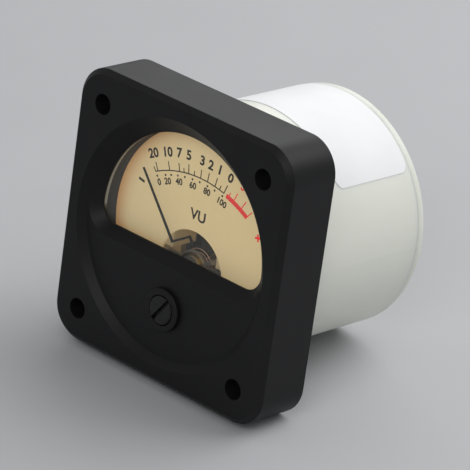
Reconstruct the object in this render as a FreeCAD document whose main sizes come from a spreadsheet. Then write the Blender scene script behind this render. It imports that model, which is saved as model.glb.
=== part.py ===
import FreeCAD, Part
import math
import os
import re
import Sketcher

# A 45 mm panel meter that shows audio level. X is to the right, Z is up, and the front looks along -Y.
# The origin is the centre of the rear face of the bezel, the face that meets the panel, on the axis of
# the barrel. Everything in front of that face has a negative Y.

doc = FreeCAD.newDocument("PanelMeter")
sheet = doc.addObject("Spreadsheet::Sheet", "Sizes")

# Driving sizes, in millimetres and degrees.
DRIVING_SIZES = [
    # bezel: a square moulding with a round dish, a half-moon plate and a D-shaped window
    ("bezel_width", 45.0),
    ("bezel_depth", 9.75),
    ("bezel_corner", 5.5),
    ("bezel_chamfer", 0.9),
    ("arris_round", 0.25),
    ("hole_pitch", 34.0),
    ("hole_radius", 1.65),
    ("plate_sink", 1.15),
    ("window_sink", 2.75),
    ("window_sill", 2.2),
    ("window_corner", 3.0),
    ("window_lip", 0.3),
    ("ledge_width", 2.05),
    ("pane_ledge", 0.2),
    ("socket_depth", 3.4),
    ("fit_gap", 0.1),
    # pane behind the window
    ("pane_thickness", 0.7),
    ("pane_overlap", 2.2),
    # zero screw, its boss and its off-centre pin
    ("screw_drop", 10.75),
    ("boss_radius", 3.45),
    ("boss_rise", 0.75),
    ("head_radius", 2.3),
    ("head_proud", 0.2),
    ("head_thickness", 1.3),
    ("head_margin", 0.15),
    ("slot_width", 0.7),
    ("slot_depth", 0.75),
    ("slot_angle", -37.0),
    ("shank_radius", 1.0),
    ("running_gap", 0.05),
    ("sleeve_radius", 2.4),
    ("sleeve_length", 1.2),
    ("cam_radius", 1.9),
    ("cam_thickness", 0.6),
    ("cam_pin_radius", 0.35),
    ("cam_pin_length", 1.95),
    ("cam_offset", 1.0),
    # barrel, cover and label
    ("barrel_radius", 19.25),
    ("barrel_length", 27.3),
    ("barrel_front_wall", 1.2),
    ("barrel_wall", 1.8),
    ("cover_edge", 1.3),
    ("cover_round", 0.3),
    ("spigot_length", 2.5),
    ("spigot_wall", 1.2),
    ("label_thickness", 0.1),
    ("label_start", 9.3),
    ("label_width", 16.2),
    ("label_half_angle", 54.5),
    ("label_corner", 1.3),
    # dial and the frame that carries the movement
    ("dial_thickness", 0.5),
    ("dial_margin", 0.2),
    ("dial_drop", 8.6),
    ("arch_radius", 6.7),
    ("arch_drop", 0.75),
    ("dial_screw_spacing", 22.0),
    ("dial_screw_drop", 7.0),
    ("dial_screw_radius", 0.55),
    ("dial_head_radius", 1.1),
    ("dial_screw_length", 2.9),
    ("frame_thickness", 5.0),
    ("frame_opening", 14.8),
    ("frame_floor_drop", 12.7),
    ("frame_step_drop", 3.2),
    ("notch_width", 9.2),
    ("notch_rise", 2.2),
    ("lamp_window_width", 14.8),
    ("lamp_window_height", 5.0),
    ("lamp_inset", 8.65),
    # pivot axis and pointer
    ("pivot_drop", 4.8),
    ("pivot_radius", 0.3),
    ("pivot_tip", 0.05),
    ("pivot_cone", 0.35),
    ("pivot_base_radius", 1.2),
    ("pivot_base", 0.35),
    ("cup_gap", 0.04),
    ("cup_depth", 0.48),
    ("end_float", 0.1),
    ("pointer_rest", -40.0),
    ("pointer_length", 16.9),
    ("pointer_gap", 0.4),
    ("pointer_thickness", 0.2),
    ("pointer_root_width", 0.42),
    ("pointer_tip_width", 0.3),
    ("crank_radius", 4.5),
    ("crank_thickness", 0.3),
    ("pointer_ring_radius", 0.85),
    # balance cross
    ("hub_radius", 0.8),
    ("hub_length", 0.5),
    ("rod_radius", 0.15),
    ("tail_reach", 4.4),
    ("side_rod_reach", 3.1),
    ("side_rod_angle", 105.0),
    ("weight_radius", 0.4),
    ("weight_length", 0.9),
    ("weight_start", 2.1),
    # front bridge, bushing, jewel screw and zero lever
    ("bridge_sink", 0.3),
    ("bridge_thickness", 0.6),
    ("bridge_length", 19.4),
    ("bridge_width", 1.8),
    ("lobe_margin", 0.2),
    ("bridge_screw_spacing", 17.2),
    ("small_screw_radius", 0.5),
    ("small_head_radius", 0.9),
    ("small_head_thickness", 0.25),
    ("bridge_screw_length", 2.5),
    ("thread_gap", 0.02),
    ("bushing_radius", 1.9),
    ("bushing_length", 1.05),
    ("bushing_rivet", 1.2),
    ("jewel_radius", 0.8),
    ("jewel_proud", 0.2),
    ("jewel_inset", 0.08),
    ("jewel_slot", 0.3),
    ("lever_thickness", 0.3),
    ("lever_ring_width", 0.8),
    ("lever_arm_width", 1.7),
    ("fork_gap", 0.06),
    ("fork_margin", 0.2),
    ("stud_radius", 3.85),
    ("stud_angle", 60.5),
    ("rear_stud_angle", 180.0),
    ("stud_width", 0.7),
    ("stud_thickness", 0.3),
    ("stud_margin", 0.2),
    ("washer_thickness", 0.25),
    ("washer_width", 0.55),
    ("stop_radius", 3.8),
    ("stop_pin_radius", 0.4),
    ("stop_proud", 0.2),
    ("swing_low", 2.3),
    ("swing_high", 84.3),
    # hairsprings
    ("spring_wire_radius", 0.07),
    ("spring_start_radius", 0.9),
    ("spring_pitch", 0.6),
    ("spring_turns", 3),
    ("spring_root_bend", 0.2),
    ("spring_end_bend", 0.8),
    ("collet_radius", 0.5),
    ("collet_length", 0.5),
    ("collet_gap", 0.2),
    # magnet system and coil
    ("coil_clearance", 0.25),
    ("yoke_radius", 8.2),
    ("yoke_bore", 6.4),
    ("yoke_length", 10.0),
    ("ear_reach", 11.7),
    ("ear_height", 4.0),
    ("ear_thickness", 1.6),
    ("yoke_screw_spacing", 20.4),
    ("yoke_screw_radius", 0.8),
    ("yoke_screw_length", 5.0),
    ("yoke_head_radius", 1.4),
    ("yoke_head_thickness", 0.9),
    ("core_radius", 4.6),
    ("core_gap", 0.4),
    ("core_pin_radius", 0.6),
    ("core_pin_hold", 0.7),
    ("former_wall", 0.15),
    ("former_width", 2.4),
    ("winding_depth", 0.6),
    ("winding_width", 2.0),
    # rear bridge
    ("rear_bar_width", 2.4),
    ("rear_foot_width", 6.4),
    ("rear_bridge_thickness", 0.6),
    ("rear_bridge_rise", 1.5),
    ("rear_screw_offset", 2.3),
    ("rear_screw_length", 2.2),
    ("rear_jewel_length", 2.0),
    ("nut_width", 2.6),
    ("nut_thickness", 0.7),
    # lamps
    ("lamp_board_clearance", 0.724),
    ("lamp_board_height", 4.0),
    ("lamp_board_thickness", 1.0),
    ("lamp_post_length", 4.4),
    ("lamp_post_radius", 1.2),
    ("lamp_post_inset", 1.4),
    ("lamp_screw_length", 3.0),
    ("lamp_radius", 1.5),
    ("lamp_spacing", 8.4),
    ("lamp_body", 2.1),
    ("lamp_rim_width", 0.25),
    ("lamp_rim_thickness", 0.6),
    # circuit board and what is on it
    ("board_width", 24.0),
    ("board_clearance", 1.171),
    ("board_thickness", 1.6),
    ("board_gap", 3.7),
    ("board_post_radius", 2.0),
    ("board_post_spacing", 17.0),
    ("board_screw_radius", 0.8),
    ("board_head_radius", 1.5),
    ("board_head_thickness", 0.8),
    ("board_screw_length", 4.5),
    ("terminal_radius", 0.4),
    ("terminal_reach", 5.0),
    ("terminal_collar_radius", 0.9),
    ("terminal_collar_length", 0.8),
    ("terminal_proud", 0.5),
    ("signal_pin_inset", 2.1),
    ("signal_pin_drop", 1.3),
    ("lamp_pin_offset", 5.0),
    ("lamp_pin_rise", 2.0),
    ("diode_radius", 0.8),
    ("diode_length", 3.4),
    ("diode_drop", 6.4),
    ("diode_spacing", 2.6),
    ("resistor_radius", 1.1),
    ("resistor_length", 6.2),
    ("resistor_rise", 3.6),
    ("component_lead_radius", 0.25),
    ("component_lead_reach", 1.2),
    ("component_lift", 0.1),
    # wires inside the case
    ("wire_radius", 0.35),
    ("wire_lead", 3.5),
    ("short_wire_lead", 0.9),
    ("lamp_wire_offset", 6.5),
    ("lamp_wire_height", 8.6),
    ("lamp_tag_offset", 7.4),
    ("frame_wire_offset", 9.5),
    ("frame_wire_drop", 6.5),
    ("frame_tag_inset", 2.015),
    ("frame_tag_angle", 31.22),
    ("bridge_wire_offset", 1.5),
    ("bridge_tag_rise", 4.0),
]

# Sizes that follow from the driving ones, so that the inner pieces keep to the barrel they stand in.
FOLLOWING_SIZES = [
    ("chamber_radius", "barrel_radius - ledge_width"),
    ("dish_radius", "barrel_radius - ledge_width - pane_ledge + window_sink"),
    ("lamp_height", "barrel_radius - lamp_inset"),
    ("lamp_board_width", "2 * sqrt((barrel_radius - barrel_wall - lamp_board_clearance)^2"
        " - (barrel_radius - lamp_inset + lamp_board_height / 2)^2)"),
    ("lamp_post_spacing", "lamp_board_width - 2 * lamp_post_inset"),
    ("board_stand_off", "barrel_length - cover_edge - board_thickness + socket_depth - frame_thickness"
        " - yoke_length - 2 * rear_bridge_thickness - rear_bridge_rise - board_gap"),
    ("board_height", "2 * sqrt((barrel_radius - barrel_wall - board_clearance)^2 - (board_width / 2)^2)"),
    ("signal_pin_offset", "board_width / 2 - signal_pin_inset"),
    ("signal_pin_height", "board_height / 2 - signal_pin_drop"),
    ("lamp_pin_drop", "board_height / 2 - lamp_pin_rise"),
    ("diode_height", "board_height / 2 - diode_drop"),
    ("resistor_drop", "board_height / 2 - resistor_rise"),
    ("frame_tag_offset", "(barrel_radius - barrel_wall - frame_tag_inset) * cos(frame_tag_angle)"),
    ("frame_tag_drop", "(barrel_radius - barrel_wall - frame_tag_inset) * sin(frame_tag_angle)"),
]

NAMES = set()
for row, (alias, number) in enumerate(DRIVING_SIZES, start=1):
    cell = "A%d" % row
    sheet.set(cell, str(number))
    sheet.setAlias(cell, alias)
    NAMES.add(alias)
for row, (alias, rule) in enumerate(FOLLOWING_SIZES, start=1):
    cell = "B%d" % row
    sheet.set(cell, "=" + rule)
    sheet.setAlias(cell, alias)
    NAMES.add(alias)
doc.recompute()


def size(alias):
    """The number in one cell, for the pieces that are shaped by code."""
    return float(sheet.get(alias))


def formula(text):
    """Names of cells in a formula, written as the document's expressions want them."""
    return re.sub(r"[a-z][a-z_]*", lambda word: cell_name(word.group()), text)


def cell_name(word):
    return "Sizes." + word if word in NAMES else word


def bind(thing, prop, text):
    thing.setExpression(prop, formula(text))


# Levels along Y, from the front of the bezel to the rear.
BEZEL_FRONT = "-bezel_depth"
PLATE_FRONT = "(-bezel_depth + plate_sink)"
BOSS_FRONT = "(-bezel_depth + plate_sink - boss_rise)"
WINDOW_FRONT = "(-bezel_depth + window_sink)"
CHAMBER_FLOOR = "(-bezel_depth + window_sink + window_lip)"
POINTER_FRONT = "(-bezel_depth + window_sink + window_lip + pane_thickness + pointer_gap)"
SEAT = "(-socket_depth)"
FRAME_REAR = "(-socket_depth + frame_thickness)"
EAR_REAR = "(-socket_depth + frame_thickness + ear_thickness)"
DIAL_FRONT = "(-socket_depth - dial_thickness)"
BRIDGE_FRONT = "(-socket_depth + bridge_sink)"
BRIDGE_REAR = "(-socket_depth + bridge_sink + bridge_thickness)"
LEVER_FRONT = "(-socket_depth + bridge_sink - running_gap - lever_thickness)"
WASHER_FRONT = "(-socket_depth + bridge_sink - 2 * running_gap - lever_thickness - washer_thickness)"
BUSHING_FRONT = "(-socket_depth + bridge_sink - bushing_length)"
COLLET_START = "(-socket_depth + bridge_sink + bridge_thickness + collet_gap)"
SPRING_LEVEL = "(-socket_depth + bridge_sink + bridge_thickness + collet_gap + collet_length / 2)"
RING_START = "(-socket_depth + bridge_sink + bridge_thickness + collet_gap + collet_length + running_gap)"
HUB_START = ("(-socket_depth + bridge_sink + bridge_thickness + collet_gap + collet_length + running_gap"
             " + pointer_thickness)")
CUP_FLOOR = "(-socket_depth + bridge_sink + bridge_thickness + jewel_inset - cup_depth)"
COIL_FRONT = "(-socket_depth + frame_thickness + coil_clearance)"
FORMER_FRONT = "(-socket_depth + frame_thickness + coil_clearance + winding_depth)"
CORE_FRONT = "(-socket_depth + frame_thickness + coil_clearance + winding_depth + former_wall + core_gap)"
YOKE_REAR = "(-socket_depth + frame_thickness + yoke_length)"
FORMER_REAR = "(-socket_depth + frame_thickness + yoke_length + former_wall)"
COIL_REAR = "(-socket_depth + frame_thickness + yoke_length + former_wall + winding_depth)"
CORE_REAR = "(-socket_depth + frame_thickness + yoke_length - core_gap)"
REAR_BASE_END = ("(-socket_depth + frame_thickness + yoke_length + former_wall + winding_depth"
                 " + pivot_base)")
REAR_SPRING_LEVEL = ("(-socket_depth + frame_thickness + yoke_length + former_wall + winding_depth"
                     " + pivot_base + running_gap + collet_length / 2)")
REAR_BAR_FRONT = "(-socket_depth + frame_thickness + yoke_length + rear_bridge_thickness + rear_bridge_rise)"
REAR_BAR_REAR = ("(-socket_depth + frame_thickness + yoke_length + 2 * rear_bridge_thickness"
                 " + rear_bridge_rise)")
REAR_CUP_FLOOR = ("(-socket_depth + frame_thickness + yoke_length + rear_bridge_thickness"
                  " + rear_bridge_rise - jewel_inset + cup_depth)")
LAMP_BOARD_FRONT = "(-socket_depth + frame_thickness + lamp_post_length)"
LAMP_BOARD_REAR = "(-socket_depth + frame_thickness + lamp_post_length + lamp_board_thickness)"
COVER_FRONT = "(barrel_length - cover_edge)"
BOARD_REAR = "(barrel_length - cover_edge - board_stand_off)"
BOARD_FRONT = "(barrel_length - cover_edge - board_stand_off - board_thickness)"
SCREW_Z = "(-screw_drop)"
PIVOT_Z = "(-pivot_drop)"
ARCH_Z = "(-pivot_drop - arch_drop)"


def y_level(text):
    """A level along Y as a number: the sum of its signed terms."""
    total = 0.0
    for sign, factor, name, half in re.findall(r"([-+]?)\s*(\d*)\s*\*?\s*([a-z_]+)( / 2)?", text):
        value = size(name) * (float(factor) if factor else 1.0)
        value = value / 2 if half else value
        total = total - value if sign == "-" else total + value
    return total


def cylinder(name, radius, start, length, x="0", z="0"):
    """A round bar along +Y."""
    bar = doc.addObject("Part::Cylinder", name)
    lay_along_y = FreeCAD.Rotation(FreeCAD.Vector(1, 0, 0), -90)
    bar.Placement = FreeCAD.Placement(FreeCAD.Vector(), lay_along_y)
    bind(bar, "Radius", radius)
    bind(bar, "Height", length)
    bind(bar, "Placement.Base.x", x)
    bind(bar, "Placement.Base.y", start)
    bind(bar, "Placement.Base.z", z)
    return bar


def block(name, x, y, z, width, depth, height):
    """A box centred on x and z, which starts at y and runs along +Y."""
    box = doc.addObject("Part::Box", name)
    bind(box, "Length", width)
    bind(box, "Width", depth)
    bind(box, "Height", height)
    bind(box, "Placement.Base.x", "%s - (%s) / 2" % (x, width))
    bind(box, "Placement.Base.y", y)
    bind(box, "Placement.Base.z", "%s - (%s) / 2" % (z, height))
    return box


def face_angle(thing, angle):
    """Turns a piece clockwise about +Y, as seen from the front."""
    thing.Placement = FreeCAD.Placement(FreeCAD.Vector(), FreeCAD.Rotation(FreeCAD.Vector(0, 1, 0), 1))
    bind(thing, "Placement.Rotation.Angle", angle)


def rod(name, angle, start, end, level, radius, z="0"):
    """A round bar that points away from the Y axis at an angle clockwise from +Z."""
    bar = doc.addObject("Part::Cylinder", name)
    face_angle(bar, angle)
    bind(bar, "Radius", radius)
    bind(bar, "Height", "(%s) - (%s)" % (end, start))
    bind(bar, "Placement.Base.x", "(%s) * sin(%s)" % (start, angle))
    bind(bar, "Placement.Base.y", level)
    bind(bar, "Placement.Base.z", "%s + (%s) * cos(%s)" % (z, start, angle))
    return bar


def strip(name, angle, start, end, y, depth, width):
    """A flat bar that points away from the Y axis at an angle clockwise from +Z."""
    bar = doc.addObject("Part::Box", name)
    face_angle(bar, angle)
    bind(bar, "Length", width)
    bind(bar, "Width", depth)
    bind(bar, "Height", "(%s) - (%s)" % (end, start))
    bind(bar, "Placement.Base.x", "(%s) * sin(%s) - (%s) / 2 * cos(%s)" % (start, angle, width, angle))
    bind(bar, "Placement.Base.y", y)
    bind(bar, "Placement.Base.z", "(%s) * cos(%s) + (%s) / 2 * sin(%s)" % (start, angle, width, angle))
    return bar


def fuse(name, *items):
    joined = doc.addObject("Part::MultiFuse", name)
    joined.Shapes = list(items)
    joined.Refine = True
    return joined


def cut(name, base, *tools):
    result = doc.addObject("Part::Cut", name)
    result.Base = base
    result.Tool = tools[0] if len(tools) == 1 else fuse(name + "_tools", *tools)
    result.Refine = True
    return result


def group(name, *items):
    """Several separate solids of one kind in one node."""
    several = doc.addObject("Part::Compound", name)
    several.Links = list(items)
    return several


def set_on_pivot(thing, angle):
    """Moves a piece modelled about the Y axis to the pivot axis and turns it there."""
    face_angle(thing, angle)
    bind(thing, "Placement.Base.z", PIVOT_Z)
    return thing


def new_body(name, z="0"):
    body = doc.addObject("PartDesign::Body", name)
    if z != "0":
        bind(body, "Placement.Base.z", z)
    return body


def new_sketch(body, name, role, level="0"):
    sketch = body.newObject("Sketcher::SketchObject", name)
    planes = [item for item in body.Origin.OriginFeatures if item.Role == role]
    sketch.AttachmentSupport = (planes[0], [""])
    sketch.MapMode = "FlatFace"
    if level != "0":
        bind(sketch, "AttachmentOffset.Base.z", "-(%s)" % level)
    return sketch


def pin_point(sketch, edge, end, across, up):
    """Fixes one point of a sketch by its two distances from the origin."""
    number = sketch.addConstraint(Sketcher.Constraint("DistanceX", -1, 1, edge, end, 1.0))
    bind(sketch, "Constraints[%d]" % number, across)
    number = sketch.addConstraint(Sketcher.Constraint("DistanceY", -1, 1, edge, end, 1.0))
    bind(sketch, "Constraints[%d]" % number, up)


def add_polygon(sketch, corners):
    first = sketch.GeometryCount
    count = len(corners)
    turn = 2 * math.pi / count
    ring = [FreeCAD.Vector(math.cos(turn * k), math.sin(turn * k), 0) for k in range(count)]
    for k in range(count):
        sketch.addGeometry(Part.LineSegment(ring[k], ring[(k + 1) % count]))
    for k in range(count):
        after = (k + 1) % count
        sketch.addConstraint(Sketcher.Constraint("Coincident", first + k, 2, first + after, 1))
    for k, (across, up) in enumerate(corners):
        pin_point(sketch, first + k, 1, across, up)


def add_rectangle(sketch, left, right, low, high):
    add_polygon(sketch, [(left, low), (right, low), (right, high), (left, high)])


def add_circle(sketch, x, z, radius):
    edge = sketch.addGeometry(Part.Circle(FreeCAD.Vector(1, 1, 0), FreeCAD.Vector(0, 0, 1), 1.0))
    pin_point(sketch, edge, 3, x, z)
    number = sketch.addConstraint(Sketcher.Constraint("Radius", edge, 1.0))
    bind(sketch, "Constraints[%d]" % number, radius)


def add_window_outline(sketch, radius, sill, corner):
    """A D lying on its straight side: a large arc, two rounded corners and a sill below the centre."""
    big = y_level(radius)
    small = y_level(corner)
    low = -y_level(sill)
    reach = math.sqrt((big - small) ** 2 - (low + small) ** 2)
    lean = math.atan2(low + small, reach)
    upright = FreeCAD.Vector(0, 0, 1)
    right_centre = FreeCAD.Vector(reach, low + small, 0)
    left_centre = FreeCAD.Vector(-reach, low + small, 0)
    top_arc = Part.Circle(FreeCAD.Vector(), upright, big)
    right_arc = Part.Circle(right_centre, upright, small)
    left_arc = Part.Circle(left_centre, upright, small)
    top = sketch.addGeometry(Part.ArcOfCircle(top_arc, lean, math.pi - lean))
    left = sketch.addGeometry(Part.ArcOfCircle(left_arc, math.pi - lean, 1.5 * math.pi))
    line = Part.LineSegment(FreeCAD.Vector(-reach, low, 0), FreeCAD.Vector(reach, low, 0))
    base = sketch.addGeometry(line)
    right = sketch.addGeometry(Part.ArcOfCircle(right_arc, -0.5 * math.pi, lean))
    sketch.addConstraint(Sketcher.Constraint("Coincident", top, 3, -1, 1))
    sketch.addConstraint(Sketcher.Constraint("Tangent", top, 2, left, 1))
    sketch.addConstraint(Sketcher.Constraint("Tangent", left, 2, base, 1))
    sketch.addConstraint(Sketcher.Constraint("Tangent", base, 2, right, 1))
    sketch.addConstraint(Sketcher.Constraint("Tangent", right, 2, top, 1))
    sketch.addConstraint(Sketcher.Constraint("Horizontal", base))
    sketch.addConstraint(Sketcher.Constraint("Equal", left, right))
    number = sketch.addConstraint(Sketcher.Constraint("Radius", top, big))
    bind(sketch, "Constraints[%d]" % number, radius)
    number = sketch.addConstraint(Sketcher.Constraint("Radius", left, small))
    bind(sketch, "Constraints[%d]" % number, corner)
    number = sketch.addConstraint(Sketcher.Constraint("DistanceY", -1, 1, base, 1, low))
    bind(sketch, "Constraints[%d]" % number, "-(%s)" % sill)


def volume_of(body):
    doc.recompute()
    return body.Shape.Volume


def pad(body, name, sketch, length):
    """Adds material from the sketch towards +Y."""
    feature = body.newObject("PartDesign::Pad", name)
    feature.Profile = sketch
    feature.Reversed = True
    bind(feature, "Length", length)
    return feature


def pocket(body, name, sketch, length, towards_front=False):
    """Takes material away from the sketch towards +Y, or towards the front."""
    before = volume_of(body)
    feature = body.newObject("PartDesign::Pocket", name)
    feature.Profile = sketch
    feature.Reversed = towards_front
    bind(feature, "Length", length)
    if volume_of(body) >= before:
        raise ValueError("%s takes nothing away" % name)
    return feature


def revolve(body, name, kind, corners):
    """Turns a profile of (radius, y) corners once round the Y axis."""
    sketch = new_sketch(body, name + "_profile", "XY_Plane")
    add_polygon(sketch, corners)
    feature = body.newObject(kind, name)
    feature.Profile = sketch
    feature.ReferenceAxis = (sketch, ["V_Axis"])
    feature.Angle = 360
    return feature


def edges_where(feature, test):
    doc.recompute()
    found = []
    for number, edge in enumerate(feature.Shape.Edges, start=1):
        if test(edge):
            found.append("Edge%d" % number)
    return found


def round_edges(body, name, base, edges, radius):
    feature = body.newObject("PartDesign::Fillet", name)
    feature.Base = (base, edges)
    bind(feature, "Radius", radius)
    return feature


def level_edge(edge, level):
    """True for an edge that lies wholly in the plane y = level."""
    box = edge.BoundBox
    return abs(box.YMin - level) < 1e-4 and abs(box.YMax - level) < 1e-4


# Bezel: a moulded square block, open at the rear, with a dish cut at 45 degrees into its front.
HALF = "bezel_width / 2"
bezel = new_body("bezel")
sketch = new_sketch(bezel, "bezel_outline", "XZ_Plane", BEZEL_FRONT)
add_rectangle(sketch, "-" + HALF, HALF, "-" + HALF, HALF)
block_pad = pad(bezel, "bezel_block", sketch, "bezel_depth")
upright_edges = edges_where(block_pad, lambda edge: edge.BoundBox.YLength > size("bezel_depth") - 1e-4)
corners = round_edges(bezel, "bezel_corners", block_pad, upright_edges, "bezel_corner")
front_edges = edges_where(corners, lambda edge: level_edge(edge, y_level(BEZEL_FRONT)))
chamfer = bezel.newObject("PartDesign::Chamfer", "bezel_front_chamfer")
chamfer.Base = (corners, front_edges)
bind(chamfer, "Size", "bezel_chamfer")
chamfer_levels = (y_level(BEZEL_FRONT), y_level(BEZEL_FRONT) + size("bezel_chamfer"))
arrises = edges_where(chamfer, lambda edge: any(level_edge(edge, level) for level in chamfer_levels))
round_edges(bezel, "bezel_arrises", chamfer, arrises, "arris_round")
solid_volume = volume_of(bezel)
revolve(bezel, "dish", "PartDesign::Groove", [
    ("0", BEZEL_FRONT),
    ("dish_radius", BEZEL_FRONT),
    ("dish_radius - plate_sink", PLATE_FRONT),
    ("0", PLATE_FRONT),
])
if volume_of(bezel) >= solid_volume:
    raise ValueError("the dish takes nothing away")
slope_top = new_sketch(bezel, "slope_top", "XZ_Plane", PLATE_FRONT)
add_window_outline(
    slope_top,
    "dish_radius - plate_sink",
    "window_sill + window_sink - plate_sink",
    "window_corner + window_sink - plate_sink",
)
slope_foot = new_sketch(bezel, "slope_foot", "XZ_Plane", WINDOW_FRONT)
add_window_outline(slope_foot, "dish_radius - window_sink", "window_sill", "window_corner")
slope = bezel.newObject("PartDesign::SubtractiveLoft", "window_slope")
slope.Profile = slope_top
slope.Sections = [slope_foot]
slope.Ruled = True
sketch = new_sketch(bezel, "window_outline", "XZ_Plane", WINDOW_FRONT)
add_window_outline(sketch, "dish_radius - window_sink", "window_sill", "window_corner")
pocket(bezel, "window", sketch, "window_lip")
sketch = new_sketch(bezel, "chamber_outline", "XZ_Plane", "0")
add_circle(sketch, "0", "0", "chamber_radius")
pocket(bezel, "chamber", sketch, "-" + CHAMBER_FLOOR, towards_front=True)
sketch = new_sketch(bezel, "socket_outline", "XZ_Plane", "0")
add_circle(sketch, "0", "0", "barrel_radius + fit_gap")
pocket(bezel, "socket", sketch, "socket_depth", towards_front=True)
sketch = new_sketch(bezel, "boss_outline", "XZ_Plane", BOSS_FRONT)
add_circle(sketch, "0", SCREW_Z, "boss_radius")
boss = pad(bezel, "boss", sketch, "boss_rise")
boss_rim = edges_where(boss, lambda edge: level_edge(edge, y_level(BOSS_FRONT)))
round_edges(bezel, "boss_round", boss, boss_rim, "arris_round")
sketch = new_sketch(bezel, "sleeve_outline", "XZ_Plane", CHAMBER_FLOOR)
add_circle(sketch, "0", SCREW_Z, "sleeve_radius")
pad(bezel, "sleeve", sketch, "sleeve_length")
sketch = new_sketch(bezel, "head_recess_outline", "XZ_Plane", BOSS_FRONT)
add_circle(sketch, "0", SCREW_Z, "head_radius + head_margin")
pocket(bezel, "head_recess", sketch, "head_thickness - head_proud + running_gap")
sketch = new_sketch(bezel, "screw_bore_outline", "XZ_Plane", BOSS_FRONT)
add_circle(sketch, "0", SCREW_Z, "shank_radius + running_gap")
pocket(bezel, "screw_bore", sketch, "boss_rise + window_sink - plate_sink + window_lip + sleeve_length")
sketch = new_sketch(bezel, "corner_holes_outline", "XZ_Plane", BEZEL_FRONT)
for across in ("-hole_pitch / 2", "hole_pitch / 2"):
    for up in ("-hole_pitch / 2", "hole_pitch / 2"):
        add_circle(sketch, across, up, "hole_radius")
pocket(bezel, "corner_holes", sketch, "bezel_depth")

# Window pane: a clear D glued to the floor of the chamber, a little larger than the window.
window_pane = new_body("window_pane")
sketch = new_sketch(window_pane, "pane_outline", "XZ_Plane", CHAMBER_FLOOR)
add_window_outline(sketch, "chamber_radius - fit_gap", "window_sill + pane_overlap", "window_corner")
pad(window_pane, "pane", sketch, "pane_thickness")

# Zero screw: a slotted head in the boss, with a shank that runs through the sleeve.
HEAD_FRONT = "(-bezel_depth + plate_sink - boss_rise - head_proud)"
HEAD_REAR = "(-bezel_depth + plate_sink - boss_rise - head_proud + head_thickness)"
CAM_START = "(-bezel_depth + window_sink + window_lip + sleeve_length + running_gap)"
CAM_END = "(-bezel_depth + window_sink + window_lip + sleeve_length + running_gap + cam_thickness)"
zero_screw = new_body("zero_screw", SCREW_Z)
turned = revolve(zero_screw, "screw", "PartDesign::Revolution", [
    ("0", HEAD_FRONT),
    ("head_radius", HEAD_FRONT),
    ("head_radius", HEAD_REAR),
    ("shank_radius", HEAD_REAR),
    ("shank_radius", CAM_END),
    ("0", CAM_END),
])
head_rim = edges_where(turned, lambda edge: level_edge(edge, y_level(HEAD_FRONT)))
round_edges(zero_screw, "head_round", turned, head_rim, "arris_round")
sketch = new_sketch(zero_screw, "slot_outline", "XZ_Plane", HEAD_FRONT)
add_rectangle(sketch, "-slot_width / 2", "slot_width / 2", "-head_radius * 1.2", "head_radius * 1.2")
pocket(zero_screw, "slot", sketch, "slot_depth")
sketch.AttachmentOffset = FreeCAD.Placement(
    FreeCAD.Vector(), FreeCAD.Rotation(FreeCAD.Vector(0, 0, 1), 1))
bind(sketch, "AttachmentOffset.Rotation.Angle", "slot_angle")
bind(sketch, "AttachmentOffset.Base.z", "-(%s)" % HEAD_FRONT)

# Zero cam: a disc pressed on the shank, whose off-centre pin works the zero lever.
PIN_Z = "(-screw_drop - cam_offset)"
zero_cam = cut(
    "zero_cam",
    fuse(
        "zero_cam_blank",
        cylinder("cam_disc", "cam_radius", CAM_START, "cam_thickness", z=SCREW_Z),
        cylinder("cam_pin", "cam_pin_radius", CAM_START, "cam_thickness + cam_pin_length", z=PIN_Z),
    ),
    cylinder("cam_bore", "shank_radius", CAM_START, "cam_thickness", z=SCREW_Z),
)

# Barrel: a milky tube that seats in the bezel and clamps the movement frame with an inner step.
case_barrel = new_body("case_barrel")
revolve(case_barrel, "tube", "PartDesign::Revolution", [
    ("barrel_radius - barrel_front_wall", SEAT),
    ("barrel_radius", SEAT),
    ("barrel_radius", COVER_FRONT),
    ("barrel_radius - barrel_wall", COVER_FRONT),
    ("barrel_radius - barrel_wall", FRAME_REAR),
    ("barrel_radius - barrel_front_wall", FRAME_REAR),
])

# Back cover: a disc with a spigot inside the barrel and two posts for the circuit board.
SPIGOT = "(barrel_radius - barrel_wall - fit_gap)"
back_cover = new_body("back_cover")
disc = revolve(back_cover, "cover", "PartDesign::Revolution", [
    ("0", COVER_FRONT),
    (SPIGOT + " - spigot_wall", COVER_FRONT),
    (SPIGOT + " - spigot_wall", COVER_FRONT + " - spigot_length"),
    (SPIGOT, COVER_FRONT + " - spigot_length"),
    (SPIGOT, COVER_FRONT),
    ("barrel_radius", COVER_FRONT),
    ("barrel_radius", "barrel_length"),
    ("0", "barrel_length"),
])
rear_rim = edges_where(disc, lambda edge: level_edge(edge, size("barrel_length")))
round_edges(back_cover, "cover_rim", disc, rear_rim, "cover_round")
sketch = new_sketch(back_cover, "posts_outline", "XZ_Plane", BOARD_REAR)
for across in ("-board_post_spacing / 2", "board_post_spacing / 2"):
    add_circle(sketch, across, "0", "board_post_radius")
pad(back_cover, "posts", sketch, "board_stand_off")
sketch = new_sketch(back_cover, "post_holes_outline", "XZ_Plane", BOARD_REAR)
for across in ("-board_post_spacing / 2", "board_post_spacing / 2"):
    add_circle(sketch, across, "0", "board_screw_radius + thread_gap")
pocket(back_cover, "post_holes", sketch, "board_screw_length")
TERMINAL_PLACES = [
    ("-signal_pin_offset", "signal_pin_height"),
    ("signal_pin_offset", "signal_pin_height"),
    ("-lamp_pin_offset", "-lamp_pin_drop"),
    ("lamp_pin_offset", "-lamp_pin_drop"),
]
sketch = new_sketch(back_cover, "terminal_holes_outline", "XZ_Plane", COVER_FRONT)
for across, up in TERMINAL_PLACES:
    add_circle(sketch, across, up, "terminal_radius + running_gap")
pocket(back_cover, "terminal_holes", sketch, "cover_edge")

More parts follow.
